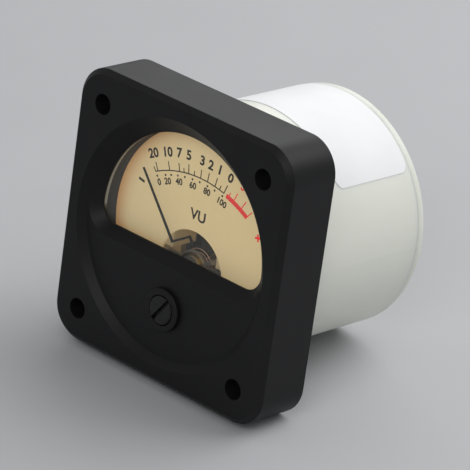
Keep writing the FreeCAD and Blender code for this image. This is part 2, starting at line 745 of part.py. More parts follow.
# Label: paper that wraps the top of the barrel, with rounded corners.
label_sleeve = cut(
    "label_sleeve",
    cylinder("label_outside", "barrel_radius + label_thickness", "label_start", "label_width"),
    cylinder("label_inside", "barrel_radius", "label_start", "label_width"),
)
label_stamp = block(
    "label_stamp",
    "0", "label_start", "barrel_radius",
    "2 * barrel_radius * sin(label_half_angle)", "label_width", "2 * barrel_radius",
)
rounded_stamp = doc.addObject("Part::Fillet", "label_rounded")
rounded_stamp.Base = label_stamp
upright_edges = edges_where(label_stamp, lambda edge: edge.BoundBox.ZLength > size("barrel_radius"))
rounded_stamp.Edges = [
    (int(name[len("Edge"):]), size("label_corner"), size("label_corner")) for name in upright_edges
]
case_label = doc.addObject("Part::Common", "case_label")
case_label.Base = label_sleeve
case_label.Tool = rounded_stamp

# Movement frame: a moulded disc seated in the bezel, with room for the pointer and light for the dial.
DIAL_SCREW_PLACES = [
    ("-dial_screw_spacing / 2", "-dial_screw_drop"),
    ("dial_screw_spacing / 2", "-dial_screw_drop"),
]
BRIDGE_SCREW_PLACES = [
    ("-bridge_screw_spacing / 2", PIVOT_Z),
    ("bridge_screw_spacing / 2", PIVOT_Z),
]
YOKE_SCREW_PLACES = [
    ("-yoke_screw_spacing / 2", PIVOT_Z),
    ("yoke_screw_spacing / 2", PIVOT_Z),
]
LAMP_POST_PLACES = [
    ("-lamp_post_spacing / 2", "lamp_height"),
    ("lamp_post_spacing / 2", "lamp_height"),
]
movement_frame = new_body("movement_frame")
sketch = new_sketch(movement_frame, "frame_outline", "XZ_Plane", SEAT)
add_circle(sketch, "0", "0", "barrel_radius - barrel_front_wall - fit_gap")
pad(movement_frame, "frame_disc", sketch, "frame_thickness")
sketch = new_sketch(movement_frame, "opening_outline", "XZ_Plane", SEAT)
add_polygon(sketch, [
    ("-frame_opening / 2", "-frame_floor_drop"),
    ("frame_opening / 2", "-frame_floor_drop"),
    ("frame_opening / 2", "-frame_step_drop"),
    ("notch_width / 2", "-frame_step_drop"),
    ("notch_width / 2", "notch_rise"),
    ("-notch_width / 2", "notch_rise"),
    ("-notch_width / 2", "-frame_step_drop"),
    ("-frame_opening / 2", "-frame_step_drop"),
])
pocket(movement_frame, "opening", sketch, "frame_thickness")
sketch = new_sketch(movement_frame, "lamp_window_outline", "XZ_Plane", SEAT)
add_rectangle(
    sketch,
    "-lamp_window_width / 2", "lamp_window_width / 2",
    "lamp_height - lamp_window_height / 2", "lamp_height + lamp_window_height / 2",
)
pocket(movement_frame, "lamp_window", sketch, "frame_thickness")
sketch = new_sketch(movement_frame, "bridge_seat_outline", "XZ_Plane", SEAT)
add_rectangle(
    sketch,
    "-bridge_length / 2 - fit_gap", "bridge_length / 2 + fit_gap",
    "-pivot_drop - bridge_width / 2 - fit_gap", "-pivot_drop + bridge_width / 2 + fit_gap",
)
pocket(movement_frame, "bridge_seat", sketch, "bridge_sink + bridge_thickness")
sketch = new_sketch(movement_frame, "lamp_posts_outline", "XZ_Plane", FRAME_REAR)
for across, up in LAMP_POST_PLACES:
    add_circle(sketch, across, up, "lamp_post_radius")
pad(movement_frame, "lamp_posts", sketch, "lamp_post_length")
sketch = new_sketch(movement_frame, "front_holes_outline", "XZ_Plane", SEAT)
for across, up in DIAL_SCREW_PLACES:
    add_circle(sketch, across, up, "dial_screw_radius + thread_gap")
for across, up in BRIDGE_SCREW_PLACES:
    add_circle(sketch, across, up, "small_screw_radius + thread_gap")
pocket(movement_frame, "front_holes", sketch, "bridge_sink + bridge_screw_length + fit_gap")
sketch = new_sketch(movement_frame, "yoke_holes_outline", "XZ_Plane", FRAME_REAR)
for across, up in YOKE_SCREW_PLACES:
    add_circle(sketch, across, up, "yoke_screw_radius + thread_gap")
pocket(movement_frame, "yoke_holes", sketch, "yoke_screw_length - ear_thickness", towards_front=True)
sketch = new_sketch(movement_frame, "lamp_holes_outline", "XZ_Plane", LAMP_BOARD_FRONT)
for across, up in LAMP_POST_PLACES:
    add_circle(sketch, across, up, "small_screw_radius + thread_gap")
pocket(
    movement_frame, "lamp_holes", sketch,
    "lamp_screw_length - lamp_board_thickness + fit_gap", towards_front=True)

# Dial plate: a thin disc cut straight below, with an arch round the pivot that opens downwards.
dial_plate = new_body("dial_plate")
sketch = new_sketch(dial_plate, "dial_outline", "XZ_Plane", DIAL_FRONT)
add_circle(sketch, "0", "0", "chamber_radius - dial_margin")
pad(dial_plate, "dial_disc", sketch, "dial_thickness")
sketch = new_sketch(dial_plate, "dial_foot_outline", "XZ_Plane", DIAL_FRONT)
add_rectangle(sketch, "-chamber_radius", "chamber_radius", "-chamber_radius", "-dial_drop")
pocket(dial_plate, "dial_foot", sketch, "dial_thickness")
sketch = new_sketch(dial_plate, "arch_outline", "XZ_Plane", DIAL_FRONT)
add_circle(sketch, "0", ARCH_Z, "arch_radius")
pocket(dial_plate, "arch", sketch, "dial_thickness")
sketch = new_sketch(dial_plate, "arch_foot_outline", "XZ_Plane", DIAL_FRONT)
add_rectangle(sketch, "-arch_radius", "arch_radius", "-chamber_radius", ARCH_Z)
pocket(dial_plate, "arch_foot", sketch, "dial_thickness")
sketch = new_sketch(dial_plate, "dial_holes_outline", "XZ_Plane", DIAL_FRONT)
for across, up in DIAL_SCREW_PLACES:
    add_circle(sketch, across, up, "dial_screw_radius + running_gap")
pocket(dial_plate, "dial_holes", sketch, "dial_thickness")


def cheese_screw(name, place, face, head_radius, head, shank_radius, length, entry=1):
    """A slotted screw whose head lies on the level face. It points along +Y, or along -Y where entry is -1."""
    across, up = place
    head_start = "%s - (%s)" % (face, head) if entry > 0 else face
    shank_start = face if entry > 0 else "%s - (%s)" % (face, length)
    slot_start = head_start if entry > 0 else "%s + (%s) / 2" % (face, head)
    blank = fuse(
        name + "_blank",
        cylinder(name + "_head", head_radius, head_start, head, across, up),
        cylinder(name + "_shank", shank_radius, shank_start, length, across, up),
    )
    slot_cut = block(
        name + "_slot",
        across, slot_start, up,
        "3 * (%s)" % head_radius, "(%s) / 2" % head, "(%s) / 4" % head_radius,
    )
    return cut(name, blank, slot_cut)


def screw_set(name, places, face, head_radius, head, shank_radius, length, entry=1):
    screws = []
    for number, place in enumerate(places, start=1):
        label = "%s_%d" % (name, number)
        screws.append(cheese_screw(label, place, face, head_radius, head, shank_radius, length, entry))
    return group(name, *screws)


screw_set(
    "dial_screws", DIAL_SCREW_PLACES, DIAL_FRONT,
    "dial_head_radius", "small_head_thickness", "dial_screw_radius", "dial_screw_length",
)

# Front bridge: a bar across the opening, with a lobe below the pivot that holds the stop pins.
STOP_TILT = "(asin((stop_pin_radius + rod_radius) / stop_radius) / 1 deg)"
LOW_STOP = "(pointer_rest - swing_low + 180 - %s)" % STOP_TILT
HIGH_STOP = "(pointer_rest + swing_high + 180 + %s)" % STOP_TILT
STOP_PLACES = []
for angle in (LOW_STOP, HIGH_STOP):
    STOP_PLACES.append(("stop_radius * sin(%s)" % angle, "stop_radius * cos(%s)" % angle))
front_bridge = new_body("front_bridge", PIVOT_Z)
sketch = new_sketch(front_bridge, "lobe_outline", "XZ_Plane", BRIDGE_FRONT)
add_circle(sketch, "0", "0", "stop_radius + stop_pin_radius + lobe_margin")
pad(front_bridge, "lobe", sketch, "bridge_thickness")
sketch = new_sketch(front_bridge, "lobe_top_outline", "XZ_Plane", BRIDGE_FRONT)
add_rectangle(sketch, "-2 * stop_radius", "2 * stop_radius", "bridge_width / 2", "2 * stop_radius")
pocket(front_bridge, "lobe_top", sketch, "bridge_thickness")
sketch = new_sketch(front_bridge, "bar_outline", "XZ_Plane", BRIDGE_FRONT)
add_rectangle(
    sketch, "-bridge_length / 2", "bridge_length / 2", "-bridge_width / 2", "bridge_width / 2")
pad(front_bridge, "bar", sketch, "bridge_thickness")
sketch = new_sketch(front_bridge, "bridge_holes_outline", "XZ_Plane", BRIDGE_FRONT)
add_circle(sketch, "0", "0", "bushing_rivet")
add_circle(sketch, "-bridge_screw_spacing / 2", "0", "small_screw_radius + running_gap")
add_circle(sketch, "bridge_screw_spacing / 2", "0", "small_screw_radius + running_gap")
for across, up in STOP_PLACES:
    add_circle(sketch, across, up, "stop_pin_radius")
pocket(front_bridge, "bridge_holes", sketch, "bridge_thickness")

screw_set(
    "bridge_screws", BRIDGE_SCREW_PLACES, BRIDGE_FRONT,
    "small_head_radius", "small_head_thickness", "small_screw_radius", "bridge_screw_length",
)

# Stop pins: two pins in the lobe that catch the tail of the balance cross at the ends of its swing.
stop_pin_length = "%s + hub_length + stop_proud - %s" % (HUB_START, BRIDGE_FRONT)
group("stop_pins", *[
    cylinder(
        "stop_pin_%d" % number, "stop_pin_radius", BRIDGE_FRONT, stop_pin_length,
        across, "%s + %s" % (PIVOT_Z, up))
    for number, (across, up) in enumerate(STOP_PLACES, start=1)
])

# Front bushing: a bright boss riveted to the bridge, which the zero lever turns on.
front_bushing = new_body("front_bushing", PIVOT_Z)
revolve(front_bushing, "bushing", "PartDesign::Revolution", [
    ("jewel_radius + thread_gap", BUSHING_FRONT),
    ("bushing_radius", BUSHING_FRONT),
    ("bushing_radius", BRIDGE_FRONT),
    ("bushing_rivet", BRIDGE_FRONT),
    ("bushing_rivet", BRIDGE_REAR),
    ("jewel_radius + thread_gap", BRIDGE_REAR),
])

# Front jewel screw: a threaded pin with the bearing cup of the spindle in its rear end.
JEWEL_FRONT = BUSHING_FRONT + " - jewel_proud"
JEWEL_REAR = BRIDGE_REAR + " + jewel_inset"
front_jewel_screw = new_body("front_jewel_screw", PIVOT_Z)
revolve(front_jewel_screw, "jewel_pin", "PartDesign::Revolution", [
    ("0", JEWEL_FRONT),
    ("jewel_radius", JEWEL_FRONT),
    ("jewel_radius", JEWEL_REAR),
    ("pivot_radius + cup_gap", JEWEL_REAR),
    ("pivot_radius + cup_gap", CUP_FLOOR),
    ("0", CUP_FLOOR),
])
sketch = new_sketch(front_jewel_screw, "jewel_slot_outline", "XZ_Plane", JEWEL_FRONT)
add_rectangle(sketch, "-2 * jewel_radius", "2 * jewel_radius", "-jewel_slot / 2", "jewel_slot / 2")
pocket(front_jewel_screw, "jewel_slot", sketch, "jewel_slot")

# Zero lever: a ring on the bushing, with a fork below for the cam pin and an arm for the spring's end.
CAM_PIN_REACH = "(screw_drop + cam_offset - pivot_drop)"
FORK_END = "(screw_drop + cam_offset - pivot_drop + cam_pin_radius + fork_margin)"
zero_lever = cut(
    "zero_lever",
    fuse(
        "lever_blank",
        cylinder(
            "lever_ring", "bushing_radius + running_gap + lever_ring_width", LEVER_FRONT,
            "lever_thickness"),
        strip(
            "lever_arm", "180", "bushing_radius", FORK_END, LEVER_FRONT, "lever_thickness",
            "lever_arm_width"),
        strip(
            "lever_stud_arm", "stud_angle", "bushing_radius", "stud_radius + stud_thickness",
            LEVER_FRONT, "lever_thickness", "stud_width"),
        strip(
            "lever_stud", "stud_angle", "stud_radius", "stud_radius + stud_thickness", LEVER_FRONT,
            "%s + stud_margin - %s" % (SPRING_LEVEL, LEVER_FRONT), "stud_width"),
    ),
    cylinder("lever_bore", "bushing_radius + running_gap", LEVER_FRONT, "lever_thickness"),
    strip(
        "lever_fork", "180", CAM_PIN_REACH + " - cam_offset",
        FORK_END + " + fork_margin", LEVER_FRONT, "lever_thickness",
        "2 * (cam_pin_radius + fork_gap)"),
)
set_on_pivot(zero_lever, "0")

# Lever washer: a push-on ring that keeps the zero lever on its bushing.
lever_washer = cut(
    "lever_washer",
    cylinder("washer_disc", "bushing_radius + washer_width", WASHER_FRONT, "washer_thickness"),
    cylinder("washer_bore", "bushing_radius", WASHER_FRONT, "washer_thickness"),
)
set_on_pivot(lever_washer, "0")

# Pointer: a thin tapered blade close to the pane, a crank back past the bridge, and a ring on the pivot.
pointer = new_body("pointer")
sketch = new_sketch(pointer, "blade_outline", "XZ_Plane", POINTER_FRONT)
add_polygon(sketch, [
    ("-pointer_root_width / 2", "crank_radius"),
    ("pointer_root_width / 2", "crank_radius"),
    ("pointer_tip_width / 2", "pointer_length"),
    ("-pointer_tip_width / 2", "pointer_length"),
])
pad(pointer, "blade", sketch, "pointer_thickness")
sketch = new_sketch(pointer, "crank_outline", "XZ_Plane", POINTER_FRONT)
add_rectangle(
    sketch,
    "-pointer_root_width / 2", "pointer_root_width / 2",
    "crank_radius", "crank_radius + crank_thickness",
)
pad(pointer, "crank", sketch, "%s - %s" % (HUB_START, POINTER_FRONT))
sketch = new_sketch(pointer, "arm_outline", "XZ_Plane", RING_START)
add_rectangle(
    sketch,
    "-pointer_root_width / 2", "pointer_root_width / 2",
    "0", "crank_radius + crank_thickness",
)
pad(pointer, "arm", sketch, "pointer_thickness")
sketch = new_sketch(pointer, "ring_outline", "XZ_Plane", RING_START)
add_circle(sketch, "0", "0", "pointer_ring_radius")
pad(pointer, "ring", sketch, "pointer_thickness")
sketch = new_sketch(pointer, "ring_bore_outline", "XZ_Plane", RING_START)
add_circle(sketch, "0", "0", "pivot_radius")
pocket(pointer, "ring_bore", sketch, "pointer_thickness")
set_on_pivot(pointer, "pointer_rest")

# Balance cross: a hub with three wire arms, two beside the pointer and the tail behind it.
HUB_MIDDLE = HUB_START + " + hub_length / 2"
BALANCE_RODS = [
    ("right", "side_rod_angle", "side_rod_reach"),
    ("left", "-side_rod_angle", "side_rod_reach"),
    ("tail", "180", "tail_reach"),
]
balance_cross = cut(
    "balance_cross",
    fuse(
        "cross_blank",
        cylinder("cross_hub", "hub_radius", HUB_START, "hub_length"),
        *[
            rod("cross_" + side, angle, "pivot_radius", reach, HUB_MIDDLE, "rod_radius")
            for side, angle, reach in BALANCE_RODS
        ],
    ),
    cylinder("cross_bore", "pivot_radius", HUB_START, "hub_length"),
)
set_on_pivot(balance_cross, "pointer_rest")

# Balance weights: a small coil of wire slid along each arm, shown as a plain sleeve.
WEIGHT_END = "weight_start + weight_length"
balance_weights = group("balance_weights", *[
    cut(
        "weight_" + side,
        rod("weight_body_" + side, angle, "weight_start", WEIGHT_END, HUB_MIDDLE, "weight_radius"),
        rod("weight_bore_" + side, angle, "weight_start", WEIGHT_END, HUB_MIDDLE, "rod_radius"),
    )
    for side, angle, reach in BALANCE_RODS
])
set_on_pivot(balance_weights, "pointer_rest")

# Pivots: a plate glued to each end of the coil, with a hardened pin that ends in a fine cone.
FRONT_TIP = CUP_FLOOR + " + end_float"
front_pivot = new_body("front_pivot", PIVOT_Z)
revolve(front_pivot, "front_spindle", "PartDesign::Revolution", [
    ("0", FRONT_TIP),
    ("pivot_tip", FRONT_TIP),
    ("pivot_radius", FRONT_TIP + " + pivot_cone"),
    ("pivot_radius", COIL_FRONT + " - pivot_base"),
    ("pivot_base_radius", COIL_FRONT + " - pivot_base"),
    ("pivot_base_radius", COIL_FRONT),
    ("0", COIL_FRONT),
])
REAR_TIP = REAR_CUP_FLOOR + " - end_float"
rear_pivot = new_body("rear_pivot", PIVOT_Z)
revolve(rear_pivot, "rear_spindle", "PartDesign::Revolution", [
    ("0", COIL_REAR),
    ("pivot_base_radius", COIL_REAR),
    ("pivot_base_radius", REAR_BASE_END),
    ("pivot_radius", REAR_BASE_END),
    ("pivot_radius", REAR_TIP + " - pivot_cone"),
    ("pivot_tip", REAR_TIP),
    ("0", REAR_TIP),
])

# Spring collets: a ring on each pivot that holds the inner end of its hairspring.
REAR_COLLET_START = REAR_SPRING_LEVEL + " - collet_length / 2"
spring_collets = group("spring_collets", *[
    cut(
        "collet_" + end,
        cylinder("collet_ring_" + end, "collet_radius", start, "collet_length"),
        cylinder("collet_bore_" + end, "pivot_radius", start, "collet_length"),
    )
    for end, start in (("front", COLLET_START), ("rear", REAR_COLLET_START))
])
set_on_pivot(spring_collets, "0")


def heading(angle):
    """The unit vector that points at an angle clockwise from +Z, seen from the front."""
    return FreeCAD.Vector(math.sin(math.radians(angle)), 0, math.cos(math.radians(angle)))


def arc_about(centre, radius, start, sweep):
    """An arc about a centre, from one heading through a signed clockwise sweep."""
    first = centre + heading(start) * radius
    middle = centre + heading(start + sweep / 2.0) * radius
    last = centre + heading(start + sweep) * radius
    return Part.Arc(first, middle, last).toShape()


def hairspring(name, level, stud_heading):
    """A flat spiral of half turns, square to its collet at the root and to its stud at the outer end."""
    wire_radius = size("spring_wire_radius")
    inner = size("spring_start_radius")
    growth = size("spring_pitch") / 2
    halves = 2 * int(size("spring_turns")) + 1
    outer = inner + growth * (halves - 1)
    end_bend = size("spring_end_bend")
    root_bend = size("spring_root_bend")
    collet = size("collet_radius")
    end_lean = math.degrees(math.asin(end_bend / (outer + end_bend)))
    root_lean = math.degrees(math.asin(root_bend / (inner - root_bend)))
    last_angle = stud_heading - end_lean
    first_angle = last_angle - 180.0 * halves
    root_angle = first_angle - root_lean
    root_reach = math.sqrt((inner - root_bend) ** 2 - root_bend ** 2)
    end_reach = math.sqrt((outer + end_bend) ** 2 - end_bend ** 2)
    if root_reach - collet < 2 * wire_radius:
        raise ValueError("the root of the spring has no straight lead")
    edges = [Part.LineSegment(heading(root_angle) * collet, heading(root_angle) * root_reach).toShape()]
    root_centre = heading(first_angle) * (inner - root_bend)
    edges.append(arc_about(root_centre, root_bend, root_angle - 90.0, 90.0 + root_lean))
    centre = FreeCAD.Vector()
    for number in range(halves):
        radius = inner + growth * number
        angle = first_angle + 180.0 * number
        if number:
            centre = centre - heading(angle) * growth
        edges.append(arc_about(centre, radius, angle, 180.0))
    end_centre = heading(last_angle) * (outer + end_bend)
    edges.append(arc_about(end_centre, end_bend, last_angle + 180.0, end_lean - 90.0))
    tail_end = heading(stud_heading) * size("stud_radius")
    edges.append(Part.LineSegment(heading(stud_heading) * end_reach, tail_end).toShape())
    path = Part.Wire(edges)
    ring = Part.Circle(heading(root_angle) * collet, heading(root_angle), wire_radius).toShape()
    tube = path.makePipeShell([Part.Wire([ring])], True, False)
    spring = doc.addObject("Part::Feature", name)
    spring.Shape = tube
    spring.Placement = FreeCAD.Placement(
        FreeCAD.Vector(0, y_level(level), -size("pivot_drop")), FreeCAD.Rotation())
    points = path.discretize(Distance=wire_radius)
    apart = size("spring_pitch")
    nearest = min(
        (points[k] - points[far]).Length
        for k in range(0, len(points), 2)
        for far in range(k + int(3 * apart / wire_radius), len(points), 2)
    )
    print("%s: least gap between its turns %.3f mm" % (name, nearest - 2 * wire_radius))
    print("%s: volume over section times length %.4f" % (
        name, tube.Volume / (math.pi * wire_radius ** 2 * path.Length)))
    return spring


# Hairsprings: two flat spirals that carry the current to the coil and return the pointer to rest.
hairspring("front_hairspring", SPRING_LEVEL, size("stud_angle"))
hairspring("rear_hairspring", REAR_SPRING_LEVEL, size("rear_stud_angle"))

# Yoke ring: a soft iron ring round the coil, with two ears that are screwed to the frame.
yoke_middle = "(yoke_bore + yoke_radius) / 2"
REAR_SCREW_RISE = "sqrt(((yoke_bore + yoke_radius) / 2)^2 - rear_screw_offset^2)"
REAR_SCREW_PLACES = []
for across in ("-rear_screw_offset", "rear_screw_offset"):
    for sign in ("-", "+"):
        REAR_SCREW_PLACES.append((across, "%s %s %s" % (PIVOT_Z, sign, REAR_SCREW_RISE)))
YOKE_MIDDLE_LEVEL = FRAME_REAR + " + yoke_length / 2"
core_pin_root = "core_radius - core_pin_hold"
core_pin_end = "yoke_bore + core_pin_hold"
yoke_holes = [
    cylinder("yoke_bore_hole", "yoke_bore", FRAME_REAR, "yoke_length", z=PIVOT_Z),
]
for number, (across, up) in enumerate(YOKE_SCREW_PLACES, start=1):
    yoke_holes.append(cylinder(
        "ear_hole_%d" % number, "yoke_screw_radius + running_gap", FRAME_REAR, "ear_thickness",
        across, up))
for number, (across, up) in enumerate(REAR_SCREW_PLACES, start=1):
    yoke_holes.append(cylinder(
        "yoke_thread_%d" % number, "small_screw_radius + thread_gap",
        "%s - rear_screw_length" % YOKE_REAR, "rear_screw_length", across, up))
for number, angle in enumerate(("0", "180"), start=1):
    yoke_holes.append(rod(
        "yoke_pin_hole_%d" % number, angle, "core_radius", core_pin_end, YOKE_MIDDLE_LEVEL,
        "core_pin_radius", PIVOT_Z))
cut(
    "yoke_ring",
    fuse(
        "yoke_blank",
        cylinder("yoke_outside", "yoke_radius", FRAME_REAR, "yoke_length", z=PIVOT_Z),
        block("yoke_ears", "0", FRAME_REAR, PIVOT_Z, "2 * ear_reach", "ear_thickness", "ear_height"),
    ),
    *yoke_holes,
)

screw_set(
    "yoke_screws", YOKE_SCREW_PLACES, EAR_REAR,
    "yoke_head_radius", "yoke_head_thickness", "yoke_screw_radius", "yoke_screw_length", entry=-1,
)

# Core magnet: a round magnet inside the coil, held by two pins that pass the swing of the coil.
cut(
    "core_magnet",
    cylinder("core_bar", "core_radius", CORE_FRONT, "%s - %s" % (CORE_REAR, CORE_FRONT), z=PIVOT_Z),
    *[
        rod(
            "core_pin_hole_%d" % number, angle, core_pin_root, "core_radius", YOKE_MIDDLE_LEVEL,
            "core_pin_radius", PIVOT_Z)
        for number, angle in enumerate(("0", "180"), start=1)
    ],
)
group("core_pins", *[
    rod(
        "core_pin_%d" % number, angle, core_pin_root, core_pin_end, YOKE_MIDDLE_LEVEL,
        "core_pin_radius", PIVOT_Z)
    for number, angle in enumerate(("0", "180"), start=1)
])

# Coil former: a thin metal frame that loops round the core, wide enough to swing past it.
FORMER_HALF = "(core_radius + core_gap + former_wall)"
coil_former = cut(
    "coil_former",
    block(
        "former_outside", "0", FORMER_FRONT, "0",
        "2 * " + FORMER_HALF, "%s - %s" % (FORMER_REAR, FORMER_FRONT), "former_width"),
    block(
        "former_inside", "0", FORMER_FRONT + " + former_wall", "0",
        "2 * (core_radius + core_gap)", "%s - %s - 2 * former_wall" % (FORMER_REAR, FORMER_FRONT),
        "former_width"),
)
set_on_pivot(coil_former, "pointer_rest")

# Coil winding: fine copper wire packed round the former.
coil_winding = cut(
    "coil_winding",
    block(
        "winding_outside", "0", COIL_FRONT, "0",
        "2 * (%s + winding_depth)" % FORMER_HALF, "%s - %s" % (COIL_REAR, COIL_FRONT), "winding_width"),
    block(
        "winding_inside", "0", FORMER_FRONT, "0",
        "2 * " + FORMER_HALF, "%s - %s" % (FORMER_REAR, FORMER_FRONT), "winding_width"),
)
set_on_pivot(coil_winding, "pointer_rest")

# Rear bridge: a strip that stands off the yoke on two feet and holds the rear jewel and spring stud.
bridge_parts = [
    block(
        "rear_bar", "0", REAR_BAR_FRONT, PIVOT_Z,
        "rear_bar_width", "rear_bridge_thickness", "yoke_bore + yoke_radius + rear_bridge_thickness"),
    strip(
        "rear_stud", "rear_stud_angle", "stud_radius", "stud_radius + stud_thickness",
        REAR_SPRING_LEVEL + " - stud_margin",
        "%s - (%s - stud_margin)" % (REAR_BAR_REAR, REAR_SPRING_LEVEL), "stud_width"),
]
stud = bridge_parts[-1]
bind(
    stud, "Placement.Base.z",
    "%s + stud_radius * cos(rear_stud_angle) + stud_width / 2 * sin(rear_stud_angle)" % PIVOT_Z)
for side, sign in (("upper", "+"), ("lower", "-")):
    middle = "%s %s %s" % (PIVOT_Z, sign, yoke_middle)
    bridge_parts.append(block(
        "rear_foot_" + side, "0", YOKE_REAR, middle,
        "rear_foot_width", "rear_bridge_thickness", "yoke_radius - yoke_bore"))
    bridge_parts.append(block(
        "rear_riser_" + side, "0", YOKE_REAR, middle,
        "rear_bar_width", "%s - %s" % (REAR_BAR_REAR, YOKE_REAR), "rear_bridge_thickness"))
bridge_holes = [
    cylinder(
        "rear_jewel_hole", "jewel_radius + thread_gap", REAR_BAR_FRONT, "rear_bridge_thickness",
        z=PIVOT_Z),
]
for number, (across, up) in enumerate(REAR_SCREW_PLACES, start=1):
    bridge_holes.append(cylinder(
        "foot_hole_%d" % number, "small_screw_radius + running_gap", YOKE_REAR,
        "rear_bridge_thickness", across, up))
cut("rear_bridge", fuse("rear_bridge_blank", *bridge_parts), *bridge_holes)

screw_set(
    "rear_bridge_screws", REAR_SCREW_PLACES, YOKE_REAR + " + rear_bridge_thickness",
    "small_head_radius", "small_head_thickness", "small_screw_radius",
    "rear_screw_length + rear_bridge_thickness - fit_gap", entry=-1,
)

# Rear jewel screw and its lock nut.
REAR_JEWEL_FRONT = REAR_BAR_FRONT + " - jewel_inset"
rear_jewel_screw = new_body("rear_jewel_screw", PIVOT_Z)
revolve(rear_jewel_screw, "rear_jewel_pin", "PartDesign::Revolution", [
    ("pivot_radius + cup_gap", REAR_JEWEL_FRONT),
    ("jewel_radius", REAR_JEWEL_FRONT),
    ("jewel_radius", REAR_JEWEL_FRONT + " + rear_jewel_length"),
    ("0", REAR_JEWEL_FRONT + " + rear_jewel_length"),
    ("0", REAR_CUP_FLOOR),
    ("pivot_radius + cup_gap", REAR_CUP_FLOOR),
])
nut_prism = doc.addObject("Part::Prism", "nut_prism")
nut_prism.Polygon = 6
nut_prism.Placement = FreeCAD.Placement(FreeCAD.Vector(), FreeCAD.Rotation(FreeCAD.Vector(1, 0, 0), -90))
bind(nut_prism, "Circumradius", "nut_width / sqrt(3)")
bind(nut_prism, "Height", "nut_thickness")
bind(nut_prism, "Placement.Base.y", REAR_BAR_REAR)
bind(nut_prism, "Placement.Base.z", PIVOT_Z)
cut(
    "rear_jewel_nut",
    nut_prism,
    cylinder("nut_bore", "jewel_radius + thread_gap", REAR_BAR_REAR, "nut_thickness", z=PIVOT_Z),
)

# Lamp board: a narrow board on the two posts of the frame, with two lamps that shine through the frame.
cut(
    "led_board",
    block(
        "lamp_board_blank", "0", LAMP_BOARD_FRONT, "lamp_height",
        "lamp_board_width", "lamp_board_thickness", "lamp_board_height"),
    *[
        cylinder(
            "lamp_board_hole_%d" % number, "small_screw_radius + running_gap", LAMP_BOARD_FRONT,
            "lamp_board_thickness", across, up)
        for number, (across, up) in enumerate(LAMP_POST_PLACES, start=1)
    ],
)
screw_set(
    "led_board_screws", LAMP_POST_PLACES, LAMP_BOARD_REAR,
    "small_head_radius", "small_head_thickness", "small_screw_radius", "lamp_screw_length", entry=-1,
)
lamps = []
for side, across in (("left", "-lamp_spacing / 2"), ("right", "lamp_spacing / 2")):
    dome = doc.addObject("Part::Sphere", "lamp_dome_" + side)
    bind(dome, "Radius", "lamp_radius")
    bind(dome, "Placement.Base.x", across)
    bind(dome, "Placement.Base.y", LAMP_BOARD_FRONT + " - lamp_body")
    bind(dome, "Placement.Base.z", "lamp_height")
    lamps.append(fuse(
        "lamp_" + side,
        dome,
        cylinder(
            "lamp_body_" + side, "lamp_radius", LAMP_BOARD_FRONT + " - lamp_body", "lamp_body",
            across, "lamp_height"),
        cylinder(
            "lamp_rim_" + side, "lamp_radius + lamp_rim_width",
            LAMP_BOARD_FRONT + " - lamp_rim_thickness", "lamp_rim_thickness", across, "lamp_height"),
    ))
group("led_lamps", *lamps)

# Circuit board: a board on the posts of the cover, crossed by the terminals.
BOARD_SCREW_PLACES = [
    ("-board_post_spacing / 2", "0"),
    ("board_post_spacing / 2", "0"),
]
board_tools = []
for number, (across, up) in enumerate(BOARD_SCREW_PLACES, start=1):
    board_tools.append(cylinder(
        "board_hole_%d" % number, "board_screw_radius + running_gap", BOARD_FRONT,
        "board_thickness", across, up))
for number, (across, up) in enumerate(TERMINAL_PLACES, start=1):
    board_tools.append(cylinder(
        "board_eye_%d" % number, "terminal_radius", BOARD_FRONT, "board_thickness", across, up))
cut(
    "circuit_board",
    block("board_blank", "0", BOARD_FRONT, "0", "board_width", "board_thickness", "board_height"),
    *board_tools,
)
screw_set(
    "board_screws", BOARD_SCREW_PLACES, BOARD_FRONT,
    "board_head_radius", "board_head_thickness", "board_screw_radius", "board_screw_length",
)

# Terminals: tinned pins that are soldered in the board and reach out through the cover.
terminals = []
for number, (across, up) in enumerate(TERMINAL_PLACES, start=1):
    terminals.append(fuse(
        "terminal_%d" % number,
        cylinder(
            "terminal_pin_%d" % number, "terminal_radius", BOARD_FRONT + " - terminal_proud",
            "terminal_reach + barrel_length - (%s - terminal_proud)" % BOARD_FRONT, across, up),
        cylinder(
            "terminal_collar_%d" % number, "terminal_collar_radius", BOARD_REAR,
            "terminal_collar_length", across, up),
    ))
group("terminals", *terminals)


def axial_part(name, x, z, radius, length):
    """A round component with a wire at each end, bent back to the front of the circuit board."""
    centre = "%s - component_lift - %s" % (BOARD_FRONT, radius)
    reach = "(%s / 2 + component_lead_reach)" % length
    body = doc.addObject("Part::Cylinder", name + "_body")
    body.Placement = FreeCAD.Placement(FreeCAD.Vector(), FreeCAD.Rotation(FreeCAD.Vector(0, 1, 0), 90))
    bind(body, "Radius", radius)
    bind(body, "Height", length)
    bind(body, "Placement.Base.x", "%s - %s / 2" % (x, length))
    bind(body, "Placement.Base.y", centre)
    bind(body, "Placement.Base.z", z)
    lead = doc.addObject("Part::Cylinder", name + "_lead")
    lead.Placement = FreeCAD.Placement(FreeCAD.Vector(), FreeCAD.Rotation(FreeCAD.Vector(0, 1, 0), 90))
    bind(lead, "Radius", "component_lead_radius")
    bind(lead, "Height", "2 * " + reach)
    bind(lead, "Placement.Base.x", "%s - %s" % (x, reach))
    bind(lead, "Placement.Base.y", centre)
    bind(lead, "Placement.Base.z", z)
    pieces = [body, lead]
    for side, sign in (("left", "-"), ("right", "+")):
        end_x = "%s %s %s" % (x, sign, reach)
        corner = doc.addObject("Part::Sphere", "%s_corner_%s" % (name, side))
        bind(corner, "Radius", "component_lead_radius")
        bind(corner, "Placement.Base.x", end_x)
        bind(corner, "Placement.Base.y", centre)
        bind(corner, "Placement.Base.z", z)
        pieces.append(corner)
        pieces.append(cylinder(
            "%s_leg_%s" % (name, side), "component_lead_radius", centre,
            "component_lift + " + radius, end_x, z))
    return fuse(name, *pieces)


